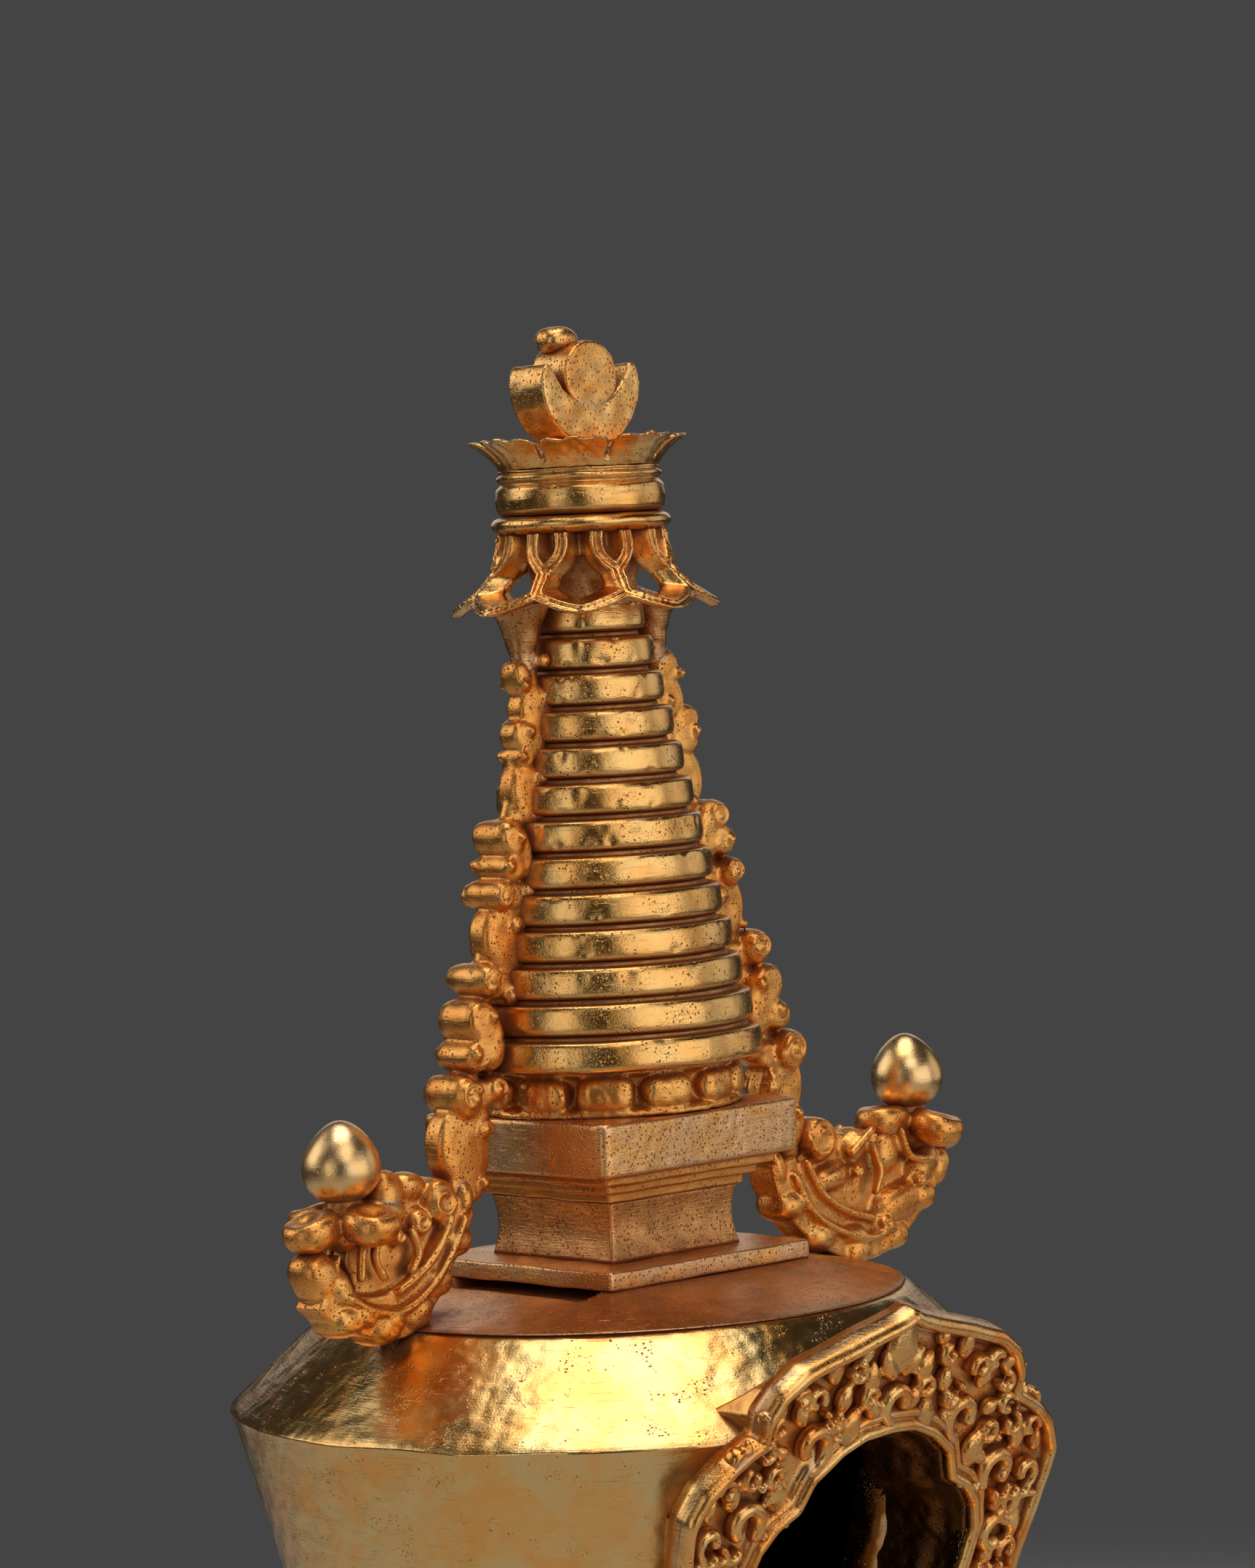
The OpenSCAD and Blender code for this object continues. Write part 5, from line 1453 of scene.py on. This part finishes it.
def flower_parts(name, side):
    """Bud on its seat, with four petals round it, a ball under them and a smaller one at the bud's foot."""
    low, high = node_box(name)
    centre, r = (low + high) / 2, (high[2] - low[2]) / 2
    lift = np.linspace(-math.pi / 2, math.pi / 2, 40)
    profile = np.stack([np.maximum(r * np.cos(lift) * (1 - 0.10 * np.sin(lift)), 0.02),
                        r * np.sin(lift) + 0.12 * r * np.clip(np.sin(lift), 0, 1) ** 6], 1)
    points, faces = turned(profile, circle_plan(64))
    bud = (points + centre, faces)
    seat = centre - [0, 0, r + 1.3]
    petals = [tilted(petal_shape(seat, a, 0.95), seat, side * (13 if side > 0 else 6)) for a in (0, 90, 180, 270)]
    petals.append(ball(seat - [0, 0, 0.6], [2.1, 2.1, 1.9], 12, 18))
    petals.append(ball(seat + [0, 0, 1.3], [1.5, 1.5, 1.3], 12, 18))
    return bud, petals


def build_streamers(scene):
    """Both sides' ribbons, hooks, flowers, bosses under the canopy and pegs; the left side is turned over."""
    casting = scene.stupa_casting
    for plan, side, word, seed in ((LEFT, -1, "left", 91), (RIGHT, 1, "right", 95)):
        rng = np.random.default_rng(seed)
        for title, shapes, node in (("ribbon", streamer_shapes(plan, rng), f"streamer_{word}"),
                                    ("hook", hook_shapes(plan), f"hook_{word}")):
            points, faces = joined(shapes)
            skin = fused([(points * [side, 1, 1], faces[:, ::side])], casting.voxel, 2, seed, 0.06, 1.1)
            piece(f"{title}_{word}_casting", skin, SPIRE, [node], "gilt_streamer", "gilt_satin")
        bud, petals = flower_parts(f"flower_bud_{word}", side)
        piece(f"bud_{word}_casting", weathered(bud, 2.6, 0.06, seed + 1), SPIRE, [f"flower_bud_{word}"],
              "gilt_burnished", "gilt_bud")
        piece(f"petals_{word}_casting", fused(petals, casting.voxel, 3, seed + 2, 0.06, 1.3), SPIRE,
              [f"flower_petals_{word}"], "gilt_streamer", "gilt_satin")
        build_boss(casting, side, word, seed)
        low, high = node_box(f"streamer_peg_{word}")
        pin = rounded([[AXIS, low[2]], [0.6, low[2]], [0.8, low[2] + 0.5], [0.8, high[2]], [AXIS, high[2]]], 0.15)
        points, faces = turned(refined(pin, 0.4), circle_plan(28))
        piece(f"peg_{word}_pin", (points + [(low[0] + high[0]) / 2, 0, 0], faces), SPIRE, [f"streamer_peg_{word}"],
              "bronze_patina", "brown_bronze")


def build_boss(casting, side, word, seed):
    """Lumpy cone that spreads from the streamer's top to the canopy's rim, with the square of the way up."""
    _, low, high = node_levels(f"streamer_boss_{word}")
    up = np.linspace(0, 1, 16)
    height = low - 0.6 + (high + 1.2 - low) * up
    wall = np.stack([1.15 + 1.55 * up ** 2, height], 1)
    cone, faces = turned(np.vstack([[[AXIS, height[0]]], wall, [[AXIS, height[-1]]]]), circle_plan(40))
    cone = cone * [side, 0.9, 1] + [7.2 * side, 0, 0]
    skin = fused([(cone, faces[:, ::side])], casting.fine_voxel, 3, seed + 3, 0.16, 1.3)
    piece(f"boss_{word}_casting", skin, SPIRE, [f"streamer_boss_{word}"], "gilt_streamer", "gilt_patina")


# ---- Stage ----------------------------------------------------------------------------------

# Soft lights as (name, turn from the niche's front in degrees, height angle, distance, width, height, brightness)
SOFTBOXES = [
    ("overhead", -42.8, 88, 0.62, 0.44, 0.44, 2.6),
    ("window", -22.0, 44, 0.70, 0.42, 0.34, 1.7),
    ("key", 8.0, 4, 0.75, 1.00, 0.60, 1.05),
    ("side", 70.0, 8, 0.80, 0.50, 0.55, 0.6),
    ("left_front", -76.0, 4, 0.75, 0.32, 0.55, 0.85),
    ("left_back", -138.0, 28, 0.80, 0.60, 0.60, 1.2),
    ("back", 137.0, 20, 0.85, 0.70, 0.45, 0.6),
]
AIM = (0, 0, 0.12)


def add_softbox(name, turn, lift, distance, width, height, brightness):
    """Area light at a direction round the object; its power is brightness * pi * area."""
    turn, lift = math.radians(turn), math.radians(lift)
    away = Vector((math.sin(turn) * math.cos(lift), -math.cos(turn) * math.cos(lift), math.sin(lift)))
    light = bpy.data.lights.new(name, "AREA")
    light.shape, light.size, light.size_y = "RECTANGLE", width, height
    # A white area light's radiance is its power over pi times its area
    light.energy = brightness * math.pi * width * height
    lamp = bpy.data.objects.new(name, light)
    lamp.location = Vector(AIM) + away * distance
    lamp.rotation_euler = away.to_track_quat("Z", "Y").to_euler()
    lamp.visible_camera = False
    bpy.context.scene.collection.objects.link(lamp)


def add_camera(stage):
    """Camera at the given turn, distance and height, looking at the axis, then turned by pitch, yaw and roll."""
    a, pitch, yaw, roll = stage.azimuth, stage.pitch, stage.yaw, stage.roll
    up = Vector((0, 0, 1))
    ahead, right = Vector((-math.sin(a), math.cos(a), 0)), Vector((math.cos(a), math.sin(a), 0))
    ahead, right = ahead * math.cos(yaw) + right * math.sin(yaw), right * math.cos(yaw) - ahead * math.sin(yaw)
    ahead, up = ahead * math.cos(pitch) - up * math.sin(pitch), up * math.cos(pitch) + ahead * math.sin(pitch)
    right, up = right * math.cos(roll) - up * math.sin(roll), up * math.cos(roll) + right * math.sin(roll)
    camera = bpy.data.cameras.new("camera")
    camera.lens, camera.sensor_width, camera.sensor_fit = stage.lens, 36, "AUTO"
    camera.clip_start, camera.clip_end = 0.01, 20
    eye = bpy.data.objects.new("camera", camera)
    turn = Matrix((right, up, -ahead)).transposed()
    eye.matrix_world = Matrix.Translation((math.sin(a) * stage.distance, -math.cos(a) * stage.distance,
                                           stage.height)) @ turn.to_4x4()
    bpy.context.scene.collection.objects.link(eye)
    bpy.context.scene.camera = eye


FLOOR_RADIUS, FLOOR_RINGS, FLOOR_SIDES = 0.45, 24, 96


def add_floor(stage):
    """Pale disc under the object that fades into the backdrop with the distance from the axis."""
    share = np.linspace(0.0001, 1, FLOOR_RINGS)[:, None, None]
    across = share * FLOOR_RADIUS * circle_plan(FLOOR_SIDES)[None]
    points = np.concatenate([across, np.zeros((FLOOR_RINGS, FLOOR_SIDES, 1))], 2).reshape(-1, 3)
    floor = bpy.data.objects.new("floor", mesh_of("floor", points / MM, grid_faces(FLOOR_RINGS, FLOOR_SIDES)))
    material = bpy.data.materials.new("floor_paint")
    material.use_nodes = True
    tree = material.node_tree
    shader = tree.nodes["Principled BSDF"]
    place = add_node(tree, "ShaderNodeTexCoord").outputs["Object"]
    away = add_node(tree, "ShaderNodeVectorMath", {0: place}, operation="LENGTH").outputs["Value"]
    grain = noise(tree, place, 60.0)
    paint = mixed(tree, times(tree, grain, 0.12), (*stage.floor, 1), (0.6, 0.59, 0.57, 1))
    tree.links.new(paint, shader.inputs["Base Color"])
    tree.links.new(ramp(tree, away, 0.16, 0.42, 1.0, 0.0), shader.inputs["Alpha"])
    shader.inputs["Roughness"].default_value = 0.8
    floor.data.materials.append(material)
    bpy.context.scene.collection.objects.link(floor)


def build_world(stage):
    """Backdrop grey for the camera, and a much dimmer surround for reflections."""
    world = bpy.data.worlds.new("surround")
    bpy.context.scene.world = world
    world.use_nodes = True
    tree = world.node_tree
    shade = tree.nodes["Background"]
    seen = add_node(tree, "ShaderNodeLightPath").outputs["Is Camera Ray"]
    tree.links.new(mixed(tree, seen, (0.030, 0.027, 0.024, 1), (*stage.backdrop, 1)), shade.inputs["Color"])


def build_stage(scene):
    """Camera, soft lights, floor and surround."""
    stage = scene.stupa_stage
    add_camera(stage)
    for softbox in SOFTBOXES:
        add_softbox(*softbox)
    add_floor(stage)
    build_world(stage)
    scene.view_settings.view_transform = "Standard"


# ---- Operators and panel --------------------------------------------------------------------


class StupaOperator:
    """Shared by the operators: each runs its own builder on the scene."""
    bl_options = {"REGISTER", "UNDO"}
    builder = None

    def execute(self, context):
        """Builds on the scene"""
        type(self).builder(context.scene)
        return {"FINISHED"}


class STUPA_OT_finishes(StupaOperator, bpy.types.Operator):
    """Make the gildings, the brown bronze and the copper"""
    bl_idname = "stupa.finishes"
    bl_label = "Finishes"
    builder = staticmethod(lambda scene: make_finishes(scene.stupa_finish))


class STUPA_OT_throne(StupaOperator, bpy.types.Operator):
    """Build the plinth, dado, balusters, cornice and terraces"""
    bl_idname = "stupa.throne"
    bl_label = "Throne"
    builder = staticmethod(build_throne)


class STUPA_OT_dome(StupaOperator, bpy.types.Operator):
    """Build the dome, its cap, lotus ring, foot and sockets"""
    bl_idname = "stupa.dome"
    bl_label = "Dome"
    builder = staticmethod(build_dome)


class STUPA_OT_niche(StupaOperator, bpy.types.Operator):
    """Build the niche's frame, hood, reveal and foliage"""
    bl_idname = "stupa.niche"
    bl_label = "Niche"
    builder = staticmethod(build_niche)


class STUPA_OT_harmika(StupaOperator, bpy.types.Operator):
    """Build the square harmika and the petal collar on it"""
    bl_idname = "stupa.harmika"
    bl_label = "Harmika"
    builder = staticmethod(build_harmika)


class STUPA_OT_spire(StupaOperator, bpy.types.Operator):
    """Build the thirteen rings and their spindle"""
    bl_idname = "stupa.spire"
    bl_label = "Spire"
    builder = staticmethod(build_spire)


class STUPA_OT_parasol(StupaOperator, bpy.types.Operator):
    """Build the openwork canopy, the bead, the drum and the petal crown"""
    bl_idname = "stupa.parasol"
    bl_label = "Parasol"
    builder = staticmethod(build_parasol)


class STUPA_OT_finial(StupaOperator, bpy.types.Operator):
    """Build the crescent moon, the sun disc and the jewel"""
    bl_idname = "stupa.finial"
    bl_label = "Finial"
    builder = staticmethod(build_finial)


class STUPA_OT_streamers(StupaOperator, bpy.types.Operator):
    """Build the side streamers with their bosses, hooks, flowers and pegs"""
    bl_idname = "stupa.streamers"
    bl_label = "Streamers"
    builder = staticmethod(build_streamers)


class STUPA_OT_stage(StupaOperator, bpy.types.Operator):
    """Set up the camera, the soft lights, the floor and the surround"""
    bl_idname = "stupa.stage"
    bl_label = "Stage"
    builder = staticmethod(build_stage)


OPERATORS = (STUPA_OT_finishes, STUPA_OT_stage, STUPA_OT_throne, STUPA_OT_dome, STUPA_OT_niche, STUPA_OT_harmika,
             STUPA_OT_spire, STUPA_OT_parasol, STUPA_OT_finial, STUPA_OT_streamers)
SETTINGS = {"stupa_finish": StupaFinish, "stupa_casting": StupaCasting, "stupa_stage": StupaStage}


class STUPA_PT_panel(bpy.types.Panel):
    """Lists the stupa's builders and their settings"""
    bl_idname = "STUPA_PT_panel"
    bl_label = "Reliquary Stupa"
    bl_space_type = "VIEW_3D"
    bl_region_type = "UI"
    bl_category = "Stupa"

    def draw(self, context):
        """Settings in boxes, and a button for each builder"""
        for group in SETTINGS:
            settings = getattr(context.scene, group)
            box = self.layout.box()
            for name in settings.__annotations__:
                box.prop(settings, name)
        for operator in OPERATORS:
            self.layout.operator(operator.bl_idname)


CLASSES = (*SETTINGS.values(), *OPERATORS, STUPA_PT_panel)


def register():
    """Registers the classes and puts their settings on the scene."""
    for item in CLASSES:
        bpy.utils.register_class(item)
    for name, group in SETTINGS.items():
        setattr(bpy.types.Scene, name, bpy.props.PointerProperty(type=group))


def unregister():
    """Takes the settings and the classes away again."""
    for name in SETTINGS:
        delattr(bpy.types.Scene, name)
    for item in reversed(CLASSES):
        bpy.utils.unregister_class(item)


# Finish of the CAD nodes that are shown as they are
KEPT_NODES = {"base_plate": "copper_sheet", "niche_sill": "gilt_dome"}


def finish_kept_nodes():
    """Gives each CAD node that no piece replaces its material."""
    for name, material in KEPT_NODES.items():
        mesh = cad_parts[name].data
        mesh.materials.clear()
        mesh.materials.append(bpy.data.materials[material])


def main():
    """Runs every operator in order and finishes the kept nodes."""
    register()
    for operator in OPERATORS:
        group, name = operator.bl_idname.split(".")
        getattr(getattr(bpy.ops, group), name)()
    finish_kept_nodes()


if __name__ == "__main__":
    main()
